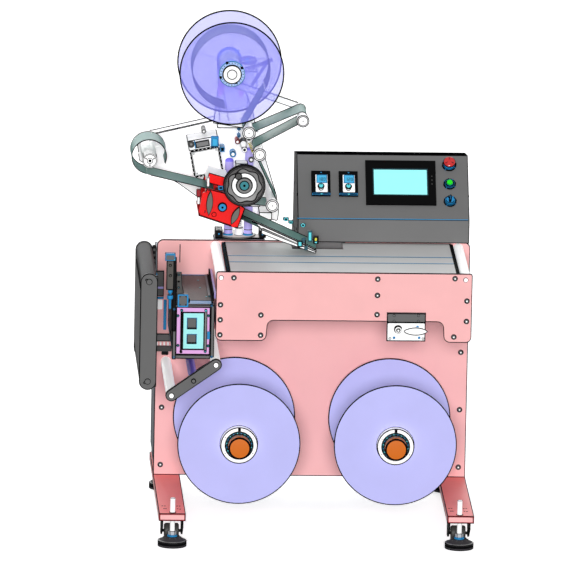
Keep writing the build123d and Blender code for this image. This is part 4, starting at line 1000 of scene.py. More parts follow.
for y in (-400, -220, -40):
    for z in (640, 760):
        P.lathe(SL @ Matrix.Translation((y, z, 0)), [(0, 2), (3, 2), (4.6, 0.6), (4.6, 0)], [STEEL, INK, INK], 18)
P.build()

# height slide of the printing unit
P = Part("slide_screws", "print_slide", "steel")
for v in (265.4, 275.6):
    x, z = at(171.2, v, -480)
    P.lathe(front(x, -480, z), [(0, 1.2), (2.4, 1.2), (2.6, 2), (4.2, 2), (5.2, 0)], [OLIVE, OLIVE, INK, INK], 20)
P.frame_prism(F0(-480), rrect(13, 37, 840, 937, 1), rrect(15.2, 34.8, 842.2, 934.8, 1), 0, 0.8, INK)
P.frame_prism(F0(-482), rrect(8, 41, 937, 960, 2), rrect(11.5, 37.5, 940, 955, 1), 0, 0.9, BLUE)
P.block(F0(-482), 11.5, 37.5, 940, 955, 0, 0.5, GREY2)
P.block(F0(-482), 36, 39, 938, 942, 0, 1.4, CYAN)
P.lathe(top(26, -471, 0), [(3.2, 776), (3.2, 840)], BLUE, 16)
P.lathe(top(26, -471, 0), [(0, 776), (3.4, 776), (3.4, 806), (9.0, 808), (9.6, 812), (9.6, 818), (9.0, 821), (3.4, 823)], [BLUE, BLUE, INK, BLUE, BLUE, BLUE, INK], 20)
P.lathe(top(26, -471, 0), [(3.4, 828), (7.4, 829), (7.4, 838), (3.4, 839.8)], [INK, BLUE, INK], 20)
P.build()

# fittings between the guide unit and the printing unit
P = Part("guide_mount_fittings", "machine_frame", "steel")
for z, r in ((786, 6.5), (768, 8.5), (748, 8.5), (728, 6.0)):
    P.lathe(front(-4, -6, z), [(0, 15), (r - 2, 15), (r, 13), (r, 0)], [LCD, BLUE, TEALDK], 24)
P.block(F0(-6), -18, 22, 738, 744, 0, 8, POST)
P.block(F0(-6), -22, 24, 703, 710, 0, 6, BLUE)
P.block(F0(-6), -20, 20, 668, 700, 0, 3, WHITE, r=2)
P.block(F0(-6), 24, 34, 600, 700, 0, 6, BLUE, r=2)
for x in (2, 14, 26, 38):
    P.block(F0(-6), x, x + 5, 548, 559, 0, 8, WHITE, r=1)
P.block(F0(-6), 0, 52, 530, 546, 0, 16, DARK, r=2)
P.block(F0(-6), 20, 42, 517, 530, 0, 12, BLACK, r=2)
P.build()
P = Part("guide_plate_details", "machine_frame", "grey_paint")
F = F0(-495)
for u, v in ((147.6, 280.0), (145.4, 382.2)):
    x, z = at(u, v, -495)
    P.lathe(front(x, -495, z), [(0, 1.2), (1.6, 1.2), (2.0, 1.8), (3.6, 1.8), (4.4, 0)], [GREY2, INK, INK, INK], 18)
P.frame_prism(F, bar_outline((-43, 538), (-43, 869), 27.6), bar_outline((-43, 538), (-43, 869), 25.2), 0.05, 0.7, INK)
P.build()
P = Part("guide_sensor_strip", "machine_frame", "dark_plastic")
P.block(F0(-6), -16, -4, 800, 884, 0, 14, BLACK, r=3)
for z in (812, 830, 848, 866):
    P.block(F0(-20), -14, -6, z, z + 8, 0, 1.5, DARK, r=2)
P.build()

# cabinet's left side: cover strip and pull
P = Part("cabinet_side_cover", "machine_frame", "cabinet_paint", bevel=1.0)
SD = Matrix(((0, 0, -1, 6), (1, 0, 0, 0), (0, 1, 0, 0), (0, 0, 0, 1)))
P.block(SD, 20, 300, 150, 660, 0, 4, CABDARK, r=10)
P.frame_prism(SD, rrect(20, 300, 150, 660, 10), rrect(25, 295, 155, 655, 8), 4, 4.8, INK)
P.block(SD, 120, 150, 420, 560, 4, 9, BLUE, r=6)
for z in (190, 620):
    for y in (40, 280):
        P.lathe(SD @ Matrix.Translation((y, z, 4)), [(0, 1.6), (3.2, 1.6), (4.8, 0)], [STEEL, INK], 18)
P.build()

# ------------------------------------------------------------------ lower reels: chuck rings and caps
for tag, X in REELS:
    body = tag + "_reel"
    P = Part(tag + "_chuck_ring", body, "steel")
    F = front(X, -438, REEL_Z)
    P.lathe(F, [(37.2, 15.8), (37.2, 18.8), (39.4, 19.6), (41.6, 18.8), (43.6, 16.4), (43.6, 15.8)], [INK, INK, TEALDK, TEALDK, INK], 48)
    for k in range(20):
        a = 2 * math.pi * (k + 0.5) / 20
        P.block(F @ Matrix.Rotation(a, 4, "Z"), 38.4, 42.8, -1.6, 1.6, 18.4, 20.6, CYAN if k % 2 else BLUE, r=0.8)
    P.lathe(F, [(44.0, 22.0), (44.0, 23.0), (47.0, 23.0), (47.0, 22.0)], INK, 56)
    P.lathe(F, [(58.6, 22.0), (60.3, 22.2), (60.8, 21.0), (60.8, 0.4), (62.6, 0.3)], [INK, INK, WHITE, INK], 56)
    P.block(F, -1.6, 1.6, 45, 60, 22.0, 22.8, INK)
    for a in (30, 150, 210, 330):
        c = (52.0 * math.cos(math.radians(a)), 52.0 * math.sin(math.radians(a)))
        P.lathe(F @ Matrix.Translation((c[0], c[1], 22)), [(0, 0.4), (1.8, 0.4), (2.8, 0.2)], [MIDGREY, WHITE], 14)
    P.build()
    P = Part(tag + "_shaft_cap", body, "steel")
    F = front(X, -500, REEL_Z)
    P.lathe(F, [(33.2, 3.05), (35.4, 1.4), (36.9, -0.6), (36.9, -14)], [INK, INK, ORANGE], 56)
    P.lathe(F, [(0, 3.3), (30, 3.3), (33.4, 3.0)], [ORANGE, ORANGE], 56)
    P.build()
    P = Part(tag + "_disc_rims", body, "lilac_plastic")
    for y in (-438, -49):
        P.lathe(front(X, y, REEL_Z), [(197.0, 0.25), (200.2, 0.25), (200.2, -4.2), (197.0, -4.25)], INK, 96)
        P.lathe(front(X, y, REEL_Z), [(150, 0.12), (150.8, 0.3), (151.6, 0.12)], LILAC, 96)
    P.build()

# ------------------------------------------------------------------ label head: supply reel
F = front(SUPPLY[0], 0, SUPPLY[1])
for nm, y in (("front", -218.0), ("rear", -24.0)):
    P = Part("supply_disc_" + nm, "supply", "lilac_plastic", replaces=("supply_reel",))
    P.fix = False
    P.lathe(front(SUPPLY[0], y, SUPPLY[1]), [(29.5, 0), (60, 0), (100, 0), (140, 0), (167, 0)], CLEAR_LILAC, 96)
    ob = P.build()
    ob.visible_shadow = False
    P = Part("supply_disc_rim_" + nm, "supply", "lilac_plastic", replaces=("supply_reel",))
    P.lathe(front(SUPPLY[0], y, SUPPLY[1]), [(166.4, 0.3), (166.4, 1.5), (171.0, 1.5), (171.0, -1.5), (166.4, -1.5), (166.4, 0.3)], INK, 96)
    P.build()
# the roll's band carries the darker web teal, a painted shade
P = Part("label_band", "supply", "teal_web", replaces=("label_roll",))
P.fix = False
n_a = 72
vs_, fs_ = [], []
a0_, a1_ = -28.7, 262.0
for i in range(n_a + 1):
    a = math.radians(a0_ + (a1_ - a0_) * i / n_a)
    for y in (WEB_Y0, WEB_Y1):
        vs_.append((SUPPLY[0] + 127.5 * math.cos(a), y, SUPPLY[1] + 127.5 * math.sin(a)))
for i in range(n_a):
    fs_.append([2 * i, 2 * i + 1, 2 * i + 3, 2 * i + 2])
P.add(Matrix.Identity(4), vs_, fs_, WEB_SHADED_BAND)
P.build()
P = Part("label_core", "supply", "cyan_plastic", replaces=("label_roll",))
P.lathe(front(SUPPLY[0], -42, SUPPLY[1]), [(29.6, 0), (38, 0), (38, 134), (29.6, 134)], [HUBBLUE, HUBBLUE, HUBBLUE], 40)
P.build().visible_shadow = False
P = Part("supply_hub", "supply", "white_metal", replaces=("supply_reel",))
F = front(SUPPLY[0], -218, SUPPLY[1])
P.lathe(F, [(29.6, 0.2), (42.6, 0.4), (42.6, 8.0), (40.6, 10.0), (33.0, 10.0), (29.6, 10.0)], [INK, BLUE, BLUE, HUBBLUE, HUBBLUE], 48)
P.lathe(F, [(29.0, 10), (31.6, 10.3), (31.6, 16.5), (28.0, 18)], [INK, INK, INK], 48)
P.lathe(F, [(0, 17.4), (9, 17.4), (14.0, 17.4), (14.2, 18.2), (16.8, 18.2), (17.0, 17.4), (27.8, 17.4), (28.0, 18.2), (30.4, 18.0), (30.6, 10)],
        [WHITE, WHITE, INK, INK, INK, WHITE, INK, INK, INK], 48)
P.prism(F, hexagon(0, 0, 26, 8), 17.6, 18.0, WHITE)
for x, z in ((-16.8, 37.6), (32.0, 21.3), (-36.9, -11.3), (13.3, -27.6)):
    P.lathe(F @ Matrix.Translation((x, z, 10)), [(0, 2.6), (3.6, 2.6), (4.8, 1.4), (4.8, 0)], [INK, INK, INK], 16)
for k in range(24):
    a = 2 * math.pi * k / 24
    P.block(F @ Matrix.Rotation(a, 4, "Z"), 35.0, 38.0, -0.8, 0.8, 10.0, 10.9, BLUE if k % 3 else INK)
P.lathe(front(SUPPLY[0], -23, SUPPLY[1]), [(29.5, 0), (29.5, 194), (15.1, 194)], [WHITE, WHITE], 40)
P.build()

# bracket behind the supply reel: motor cover, spring, brake
P = Part("supply_motor_cover", "label_head", "white_metal", bevel=1.0)
F = F0(2)
cov = [(224 + 36 * math.cos(math.radians(a)), 1503 + 36 * math.sin(math.radians(a))) for a in range(0, 181, 12)]
cov = [(x, z) for x, z in cov] + [(188, 1440), (260, 1440)]
P.prism(F, cov, 0.3, 14, WHITE, ease=2.0)
outline_tube(P, F, [(224 + (x - 224) * 1.0, z) for x, z in cov], 1.3, BLUE, 13)
cap2 = [(224 + 40 * math.cos(math.radians(a)), 1506 + 42 * math.sin(math.radians(a))) for a in range(20, 161, 10)]
P.frame_prism(F, cap2 + [(cap2[-1][0], 1500)] + [(cap2[0][0], 1500)], [(224 + (x - 224) * 0.9, 1500 + (z - 1500) * 0.86) for x, z in cap2] + [(188.5, 1500)] + [(259.5, 1500)], 14, 16, BLUE)
for x, z in ((196, 1534), (252, 1536), (206, 1508), (240, 1508)):
    screw(P, front(x, -12, z), 4.2, 2.0, LCD, BLUE)
P.build()
P = Part("supply_bracket_trim", "label_head", "white_metal")
P.prism(F0(2), [(186, 1405), (200, 1445), (212, 1410), (204, 1385), (192, 1380)], 0.3, 3, MAGENTA)
P.prism(F0(2), [(256, 1400), (276, 1400), (268, 1378), (260, 1376)], 0.3, 3, MAGENTA)
bar(P, F0(2), (200, 1440), (226, 1300), 2.2, 0.4, 2.6, INK)
bar(P, F0(2), (197, 1300), (190, 1420), 2.2, 0.4, 2.6, INK)
bar(P, F0(2), (288, 1380), (282, 1296), 2.2, 0.4, 2.6, INK)
P.build()
P = Part("tension_spring", "label_head", "steel")
x0, z0 = at(247.5, 68.5, -8)
x1, z1 = at(268.5, 61.5, -8)
L = math.hypot(x1 - x0, z1 - z0)
ax = ((x1 - x0) / L, (z1 - z0) / L)
nx = (-ax[1], ax[0])
path = []
turns = 11
for i in range(turns * 12 + 1):
    a = 2 * math.pi * i / 12
    d = L * i / (turns * 12)
    path.append((x0 + ax[0] * d + nx[0] * 6.5 * math.cos(a), -8 + 6.5 * math.sin(a), z0 + ax[1] * d + nx[1] * 6.5 * math.cos(a)))
P.tube(Matrix.Identity(4), path, 1.5, DARK, 6)
P.lathe(front(x0 - 3, 2, z0 - 1), [(0, 18), (5, 18), (5, 0)], [WHITE, INK], 20)
P.lathe(front(x1 + 3, 2, z1 + 1), [(0, 18), (5, 18), (5, 0)], [WHITE, INK], 20)
bar(P, F0(2), (x1 - 20, z1 - 8), (x1 + 14, z1 + 6), 12, 0.2, 5, MIDGREY)
bar(P, F0(2), (x1 + 4, z1 + 8), (300, 1420), 10, 0.2, 5, MIDGREY)
P.build()
P = Part("supply_brake", "label_head", "dark_plastic", bevel=1.2)
P.prism(F0(14), [(262 + 30 * math.cos(2 * math.pi * k / 28) + 24, 1500 + 15 * math.sin(2 * math.pi * k / 28)) for k in range(28)], 0, 12, DISH, ease=3)
P.prism(F0(14), circle(284, 1501, 9, 24), 12, 15, LCD, ease=1)
P.build()

# ------------------------------------------------------------------ label head: web runs at the dancer
def sheet(name, p, q, body=None, n=24, reps=("dancer_web",)):
    S = Part(name, body, "teal_web", replaces=reps)
    S.fix = False
    vs, fs = [], []
    for i in range(n + 1):
        t = i / n
        for y in (WEB_Y0, WEB_Y1):
            vs.append((p[0] + (q[0] - p[0]) * t, y, p[1] + (q[1] - p[1]) * t))
    for i in range(n):
        fs.append([2 * i, 2 * i + 1, 2 * i + 3, 2 * i + 2])
    S.add(Matrix.Identity(4), vs, fs, WEB)
    return S.build()


def sheet_arc(name, c, r, a0, a1, body, n=20, reps=("dancer_web",), mat=None):
    S = Part(name, body, "teal_web", replaces=reps)
    S.fix = False
    vs, fs = [], []
    for i in range(n + 1):
        a = math.radians(a0 + (a1 - a0) * i / n)
        for y in (WEB_Y0, WEB_Y1):
            vs.append((c[0] + r * math.cos(a), y, c[1] + r * math.sin(a)))
    for i in range(n):
        fs.append([2 * i, 2 * i + 1, 2 * i + 3, 2 * i + 2])
    S.add(Matrix.Identity(4), vs, fs, mat or WEB)
    return S.build()


for nm, p, q, a, b in (("web_to_dancer", (288.95, 1294.91), (450.65, 1366.69), "label_head", "dancer"),
                       ("web_from_dancer", (465.19, 1337.33), (310.71, 1252.47), "dancer", "label_head")):
    ob = sheet(nm, p, q)
    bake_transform(ob)
sheet_arc("web_round_dancer", RD, 16.4, 113.9, -61.2, "dancer")
sheet_arc("web_round_lower_roller", RB, 16.4, 118.8, 205.5, "label_head")

# ------------------------------------------------------------------ label head: guide rollers
for nm, body, c, yb, R1, node in (("dancer_roller_turned", "dancer_roll", RD, -16, 21.0, "dancer_roller"),
                                  ("head_roller_a_turned", "roller_a", RA, -4, 22.0, "head_roller_a"),
                                  ("head_roller_b_turned", "roller_b", RB, 40, 22.0, "head_roller_b"),
                                  ("head_roller_c_turned", "roller_c", RC, 40, 22.0, "head_roller_c")):
    P = Part(nm, body, "white_metal", replaces=(node,))
    F = front(c[0], -240, c[1])
    hb = -(240 + yb)
    P.lathe(F, [(0, 0.2), (1.8, 0.2), (2.0, 0), (14.0, 0), (14.2, -0.4), (16.4, -0.4), (16.6, 0), (R1 - 3.2, -0.1), (R1, -0.9),
                (R1, -12.6), (R1 - 1.4, -14), (15.5, -14), (15.5, hb + 2), (14.2, hb), (6.2, hb)],
            [INK, INK, WHITE, INK, INK, INK, WHITE, INK, WHITE_T, INK, WHITE_T, WHITE_T, INK, INK], 48)
    P.build()

# ------------------------------------------------------------------ handwheel
P = Part("handwheel_turned", "wheel", "black_metal", replaces=("handwheel",))
F = front(HWX, -268, HWZ)
n_s = 112
scal = []
for k in range(n_s):
    t = 2 * math.pi * k / n_s
    r = 54.0 + 3.4 * math.cos(7 * t + 0.6)
    scal.append((r * math.cos(t), r * math.sin(t)))
P.frame_prism(F, circle(0, 0, 67.6, n_s), scal, 0, 21.4, BELLY)
P.lathe(F, [(65.4, 21.2), (65.8, 22.0), (67.6, 22.0), (69.0, 20.4), (69.0, 2.0), (67.4, 0)], INK, 80)
P.lathe(F, [(61.8, 21.2), (62.0, 21.9), (63.4, 21.9), (63.6, 21.2)], INK, 80)
outline_tube(P, F, scal, 1.5, INK, 21.6)
P.lathe(F, [(24, 6.5), (59, 6.5), (59, 15.0), (42.4, 12.6), (42.0, 13.4), (39.8, 13.4), (39.4, 12.8), (28.0, 13.2), (27.6, 13.8), (25.0, 13.8)],
        [DISH, DISH, DISH, INK, INK, INK, WHITE, INK, INK], 72)
P.lathe(F, [(0, 18.6), (3.4, 18.6), (4.0, 17.4), (13.8, 17.4), (14.2, 18.2), (16.4, 18.2), (16.8, 17.6), (24.0, 17.6), (26.4, 16.0), (26.4, -6), (8, -6)],
        [INK, INK, TEALCAP, INK, INK, INK, MIDGREY, INK, MIDGREY, DARK], 56)
K = F @ Matrix.Translation((-20, 33, 0))
P.lathe(K, [(0, 27.6), (9.0, 27.4), (9.4, 28), (11.0, 27.6), (12.2, 26), (12.2, 20), (9.0, 17), (8.4, 13)],
        [DARK, INK, INK, INK, DARK, DARK, INK], 32)
P.lathe(F, [(8, -6), (8, -290), (15, -290), (15, -298), (14.6, -298), (6.6, -306), (0, -306)], [WHITE_T, INK, STEEL, STEEL, STEEL, STEEL], 40)
for k in range(18):
    a = 2 * math.pi * k / 18
    P.block(F @ Matrix.Rotation(a, 4, "Z"), 13.6, 15.8, -1.2, 1.2, -298.0, -290.6, STEEL)
for t in (0.22, 1.12, 2.0, 2.9, 3.82, 4.7, 5.6):
    P.lathe(F @ Matrix.Translation((60 * math.cos(t), 60 * math.sin(t), 21.4)), [(0, 0.3), (0.9, 0.3), (1.3, 0)], [INK, INK], 10)
P.build()
P = Part("jack_screw_thread", "screw", "white_metal")
path = []
for i in range(12 * 14 + 1):
    a = 2 * math.pi * i / 14
    path.append((268.5 + 8.0 * math.cos(a), 45 + 8.0 * math.sin(a), 937 + 72.0 * i / (12 * 14)))
P.tube(Matrix.Identity(4), path, 1.0, MIDGREY, 6)
for k in range(18):
    a = 2 * math.pi * (k + 0.5) / 18
    P.block(top(268.5, 45, 0) @ Matrix.Rotation(a, 4, "Z"), 13.6, 15.8, -1.2, 1.2, 1118.0, 1129.4, STEEL)
P.build()

# ------------------------------------------------------------------ posts and base of the head
P = Part("post_rings", "machine_frame", "steel")
for x in (233.0, 298.0):
    P.lathe(top(x, 45, 905), [(14.1, 0), (19.5, 0), (19.5, 2.0), (18.0, 3.0), (16.4, 3.0), (16.4, 8.5), (15.4, 9.5), (14.1, 9.5)],
            [BLUE, BLUE, INK, BLUE, BLUE, BLUE, INK], 40)
    P.lathe(top(x, 45, 905), [(14.05, 22), (14.6, 22), (14.6, 24), (14.05, 24)], INK, 40)
P.lathe(top(268.5, 45, 905), [(13.1, 0), (15.4, 0), (15.4, 4), (13.1, 5)], [BLUE, BLUE, INK], 36)
P.lathe(top(268.5, 45, 905), [(13.05, 27), (13.5, 27), (13.5, 30), (9.0, 30.4)], [INK, INK, WHITE], 36)
P.build()
P = Part("base_disc", "machine_frame", "white_metal")
P.lathe(top(262, 60, 905), [(0, 4.2), (60.0, 4.2), (61.6, 3.4), (61.6, 0.4), (0, 0.2)], [BEIGE, INK, MIDGREY, MIDGREY], 72)
P.build()
P = Part("base_rails", "machine_frame", "black_metal")
for x0, x1 in ((190, 214), (334, 356)):
    P.block(F0(18), x0 + 1.5, x1 - 1.5, 907, 926, 0.0, 1.4, BLACK, r=2)
    P.lathe(front((x0 + x1) / 2, 16.6, 917), [(0, 1.6), (3.2, 1.6), (4.6, 0)], [BLUE, INK], 18)
    for y in (30, 68):
        P.lathe(top((x0 + x1) / 2, y, 928), [(0, 1.6), (3.0, 1.6), (4.6, 0)], [TEALDK, INK], 18)
P.build()

# ------------------------------------------------------------------ drive motor
M = front(155, -40, 1170, 11)
P = Part("motor_flange", "label_head", "dark_plastic")
W_, H_ = 46.0, 42.0
for k in range(7):
    a = -W_ + 2 + k * (2 * W_ - 4 - 9.5) / 6
    for z in (-H_ - 3.4, H_ - 0.4):
        P.block(M, a, a + 9.5, z, z + 4.0, -8, 1.6, INK, r=1.2)
for k in range(6):
    a = -H_ + 3 + k * (2 * H_ - 6 - 9.5) / 5
    for x in (-W_ - 3.4, W_ - 0.6):
        P.block(M, x, x + 4.0, a, a + 9.5, -8, 1.6, INK, r=1.2)
P.frame_prism(M, rrect(-W_ + 3.5, W_ - 3.5, -H_ + 3.5, H_ - 3.5, 3), rrect(-W_ + 4.6, W_ - 4.6, -H_ + 4.6, H_ - 4.6, 2.6), 0, 0.7, INK)
for x in (-W_ + 9, W_ - 9):
    for z in (-H_ + 9, H_ - 9):
        P.lathe(M @ Matrix.Translation((x, z, 0)), [(0, 1.0), (1.4, 1.0), (1.6, 1.4), (3.0, 1.4), (3.6, 0)], [INK, INK, WHITE, INK], 18)
P.build()
P = Part("motor_connector", "label_head", "grey_paint")
x0, z0 = at(195.4, 146.6, -40)
x1, z1 = at(209.6, 140.4, -40)
CN = front((x0 + x1) / 2, -34, (z0 + z1) / 2, 11)
w_, h_ = (x1 - x0) / 2, (z1 - z0) / 2
P.block(CN, -w_, w_, -h_, h_, 0.2, 10, MIDGREY, r=2, ease=1)
P.frame_prism(CN, rrect(-w_, w_, -h_, h_, 2), rrect(-w_ + 3, w_ - 3, -h_ + 3, h_ - 3, 1), 10, 11, INK)
P.block(CN, -w_ - 3, -w_, -h_ - 2, h_ + 3, 0.2, 7, BLUE)
x, z = at(191.3, 144.6, -44)
P.lathe(front(x, -34, z), [(0, 5), (5.0, 5), (5.4, 8), (8.2, 9), (10.8, 8), (11.2, 0)], [DISH, INK, DARK, DARK, INK], 32)
x0, z0 = at(211.0, 147.2, -44)
x1, z1 = at(218.8, 136.2, -44)
P.block(F0(-34), x0, x1, z0, z1, 0.2, 10, BLUE, r=3, ease=1)
P.block(F0(-44), x0 + 5, x1 - 5, z0 + 6, z1 - 8, 0, 1.6, LCD, r=2)
P.block(F0(-44), x0 + 2, x1 - 2, z0 + 2, z0 + 4, 0, 1.4, INK)
x0, z0 = at(220.2, 151.8, -30)
x1, z1 = at(224.8, 146.8, -30)
P.block(F0(20), x0, x1, z0, z1, 0, 50, BLUE, r=2)
P.block(F0(-30), x0 + 3, x1 - 3, z0 + 3, z1 - 3, 0, 1.5, INK, r=1)
x, z = at(203.8, 131.2, 0)
P.lathe(front(x, 62, z), [(0, 62), (3.2, 62), (3.6, 65), (7.0, 65), (7.6, 62), (7.6, 0)], [WHITE, INK, MIDGREY, INK, MIDGREY], 26)
P.build()

# ------------------------------------------------------------------ fixings of the head plate
P = Part("head_fixings", "label_head", "steel")
def boss(u, v, r, y, mats, hole=0.4):
    x, z = at(u, v, y)
    P.lathe(front(x, 62, z), [(0, 62 - y - 0.6), (r * hole, 62 - y - 0.6), (r * hole + 0.8, 62 - y), (r * 0.86, 62 - y), (r, 61 - y), (r, 0)], mats, 28)
boss(233.0, 154.0, 10.5, 20, [WHITE, INK, BLUE, INK, BLUE], 0.5)
boss(251.3, 159.6, 9.0, 20, [WHITE, INK, MIDGREY, INK, MIDGREY], 0.5)
boss(243.5, 143.8, 12.0, 10, [WHITE, INK, WHITE, INK, DARK], 0.62)
boss(244.6, 149.6, 9.0, 8, [INK, INK, WHITE, INK, DARK], 0.45)
boss(237.5, 141.7, 8.0, 10, [WHITE, INK, REDDK, INK, REDDK], 0.5)
for u, v in ((239.0, 129.0), (239.0, 136.0)):
    x, z = at(u, v, 20)
    P.block(F0(62), x - 6, x + 6, z - 1.6, z + 1.6, 0, 43, BLUE)
    P.block(F0(62), x - 1.6, x + 1.6, z - 6, z + 6, 0, 43, BLUE)
P.build()
P = Part("head_spring", "label_head", "steel")
x0, z0 = at(249.0, 141.0, 10)
x1, z1 = at(253.5, 152.5, 10)
L = math.hypot(x1 - x0, z1 - z0)
ax = ((x1 - x0) / L, (z1 - z0) / L)
nx = (-ax[1], ax[0])
path = []
for i in range(8 * 12 + 1):
    a = 2 * math.pi * i / 12
    d = L * i / (8 * 12)
    path.append((x0 + ax[0] * d + nx[0] * 4.6 * math.cos(a), 10 + 4.6 * math.sin(a), z0 + ax[1] * d + nx[1] * 4.6 * math.cos(a)))
P.tube(Matrix.Identity(4), path, 1.2, YELLOW, 6)
P.lathe(front(x0, 62, z0), [(0, 58), (4, 58), (4, 0)], [WHITE, INK], 16)
P.lathe(front(x1, 62, z1), [(0, 58), (4, 58), (4, 0)], [WHITE, INK], 16)
P.build()

# ------------------------------------------------------------------ nip unit
def lens(cx, cz, hl, hw, tilt, n=10):
    a = math.radians(tilt)
    pts = []
    for k in range(n + 1):
        t = -1 + 2 * k / n
        pts.append((hw * (1 - t * t), hl * t))
    for k in range(1, n):
        t = 1 - 2 * k / n
        pts.append((-hw * (1 - t * t), hl * t))
    return [(cx + x * math.cos(a) - y * math.sin(a), cz + x * math.sin(a) + y * math.cos(a)) for x, y in pts]


P = Part("nip_grips", "label_head", "red_plastic")
for u, v, hl, hw, tl in ((210.0, 203.4, 42, 11.0, -4), (235.6, 215.8, 33, 11.0, -24)):
    x, z = at(u, v, -252)
    pts = lens(x, z, hl, hw, tl)
    P.prism(F0(-240), pts, 0, 12.6, INK)
    P.prism(F0(-252.6), lens(x, z, hl - 4, hw - 2.0, tl), 0, 1.2, LENS)
P.build()
P = Part("nip_drive_hub", "nip_drive", "steel")
P.lathe(front(200, -252, 1065), [(0, 0.4), (3, 0.4), (3.4, 1.2), (12.0, 1.2), (12.2, 1.8), (14.6, 1.6), (15.4, 0), (15.4, -9)],
        [INK, INK, BLUE, INK, INK, INK, INK], 40)
P.build()
P = Part("nip_fixings", "label_head", "red_plastic")
x, z = at(202.0, 210.0, -240)
P.lathe(front(x, -240, z), [(0, 0.3), (5.0, 0.3), (5.2, 1.4), (7.6, 1.2), (8.2, 0)], [WHITE, INK, INK, INK], 28)
for u, v, r, m in ((209.4, 189.8, 4.2, REDDK), (204.6, 211.6, 3.6, REDDK)):
    x, z = at(u, v, -240)
    P.lathe(front(x, -240, z), [(0, 1.0), (r * 0.5, 1.0), (r * 0.6, 2.2), (r, 2.0), (r + 0.9, 0)], [INK, m, m, INK], 20)
x0, z0 = at(206.7, 187.0, -170)
x1, z1 = at(210.0, 177.5, -170)
P.block(F0(-160), x0, x1, z0, z1, 0.2, 10, WHITE, r=1.5)
P.frame_prism(F0(-170), rrect(x0, x1, z0, z1, 1.5), rrect(x0 + 2, x1 - 2, z0 + 2, z1 - 2, 1), 0, 0.8, INK)
x, z = at(220.8, 188.0, -165)
P.block(F0(-160), x - 8, x + 8, z - 7, z + 7, 0.1, 5, BLUE, r=2)
P.block(F0(-165), x - 4, x + 4, z - 3, z + 3, 0, 1, INK, r=1)
x0, z0 = at(196.6, 197.0, -214)
x1, z1 = at(201.2, 189.6, -214)
P.block(F0(-200), x0, x1, z0, z1, 0, 14, REDDK, r=3, ease=1)
P.frame_prism(F0(-214), rrect(x0, x1, z0, z1, 3), rrect(x0 + 1.6, x1 - 1.6, z0 + 1.6, z1 - 1.6, 2), 0, 0.8, INK)
P.block(F0(-200), x0 + 2, x1 - 2, z0 - 25, z0, 0, 14, WHITE, r=3, ease=1)
P.frame_prism(F0(-214), rrect(x0 + 2, x1 - 2, z0 - 25, z0, 3), rrect(x0 + 3.6, x1 - 3.6, z0 - 23.4, z0 - 1.6, 2), 0, 0.8, INK)
P.build()
P = Part("nip_edge", "label_head", "red_plastic")
nip = [(148.6, 1124.8), (210.9, 1108.7), (273.9, 1059.3), (252.3, 995.4), (124.2, 1037.5)]
outline_tube(P, F0(-240), nip, 1.5, INK, 0.2)
outline_tube(P, F0(-40), nip, 1.2, INK, 0.2)
P.build()

# ------------------------------------------------------------------ peel plate fittings
P = Part("peel_fittings", "label_head", "cyan_plastic")
for u, v, r in ((286.0, 219.0, 6.5), (291.0, 222.0, 5.5), (303.0, 225.0, 6.5)):
    x, z = at(u, v, -196)
    P.block(F0(-192), x - r - 3, x + r + 3, z - 5, z + 6, 0, 6, TEALDK, r=2)
    P.lathe(front(x, -198, z), [(0, 1), (r * 0.5, 1), (r * 0.6, 2), (r, 1.6), (r + 1, 0)], [INK, CYAN, CYAN, INK], 22)
x0, z0 = at(307.6, 241.8, -196)
x1, z1 = at(312.4, 230.4, -196)
P.block(F0(-192), x0, x1, z0, z1, 0, 9, TEALDK, r=2)
P.block(F0(-201), x0 + 3, x1 - 3, z0 + 6, z1 - 5, 0, 1.5, CYAN, r=1.5)
x0, z0 = at(313.2, 243.8, -206)
x1, z1 = at(318.8, 236.2, -206)
P.block(F0(-194), x0, x1, z0, z1, 0, 14, BLACK, r=2)
P.block(F0(-208), x0 + 5, x1 - 6, z0 + 11, z1 - 5, 0, 1.4, YELLOW, r=1)
P.block(F0(-208), x0 + 5, x1 - 5, z0 + 3, z0 + 8, 0, 1.4, CYAN, r=1)
x2, z2 = at(312.0, 238.0, -198)
P.block(F0(-192), x2 - 4, x0 + 4, z2 - 3, z2 + 3, 0, 8, DARK)
x0, z0 = at(297.2, 246.8, -190)
x1, z1 = at(302.8, 240.4, -190)
P.block(F0(-186), x0, x1, z0, z1, 0, 8, BLACK, r=2)
P.block(F0(-194), x0 + 4, x1 - 4, z0 + 4, z1 - 4, 0, 1.4, CYAN, r=1)
P.block(F0(-188), x1 - 4, x1 + 10, z1 - 8, z1 + 10, 0, 6, TEALDK, r=1)
x0, z0 = at(304.2, 249.8, -190)
x1, z1 = at(308.0, 245.2, -190)
P.block(F0(-186), x0, x1, z0, z1, 0, 8, TEALDK, r=1.5)
P.block(F0(-190), x0 + 2, x0 + 6, z1 - 2, z1 + 18, 0, 5, BLACK)
P.build()
P = Part("peel_edge", "label_head", "white_metal")
sl_ = 0.4515
for y in (-180.4, -38.0):
    bar(P, F0(y + 0.0), (300, 1004), (511, 908.9), 1.6, 0.0, 0.8, INK)
P.build()

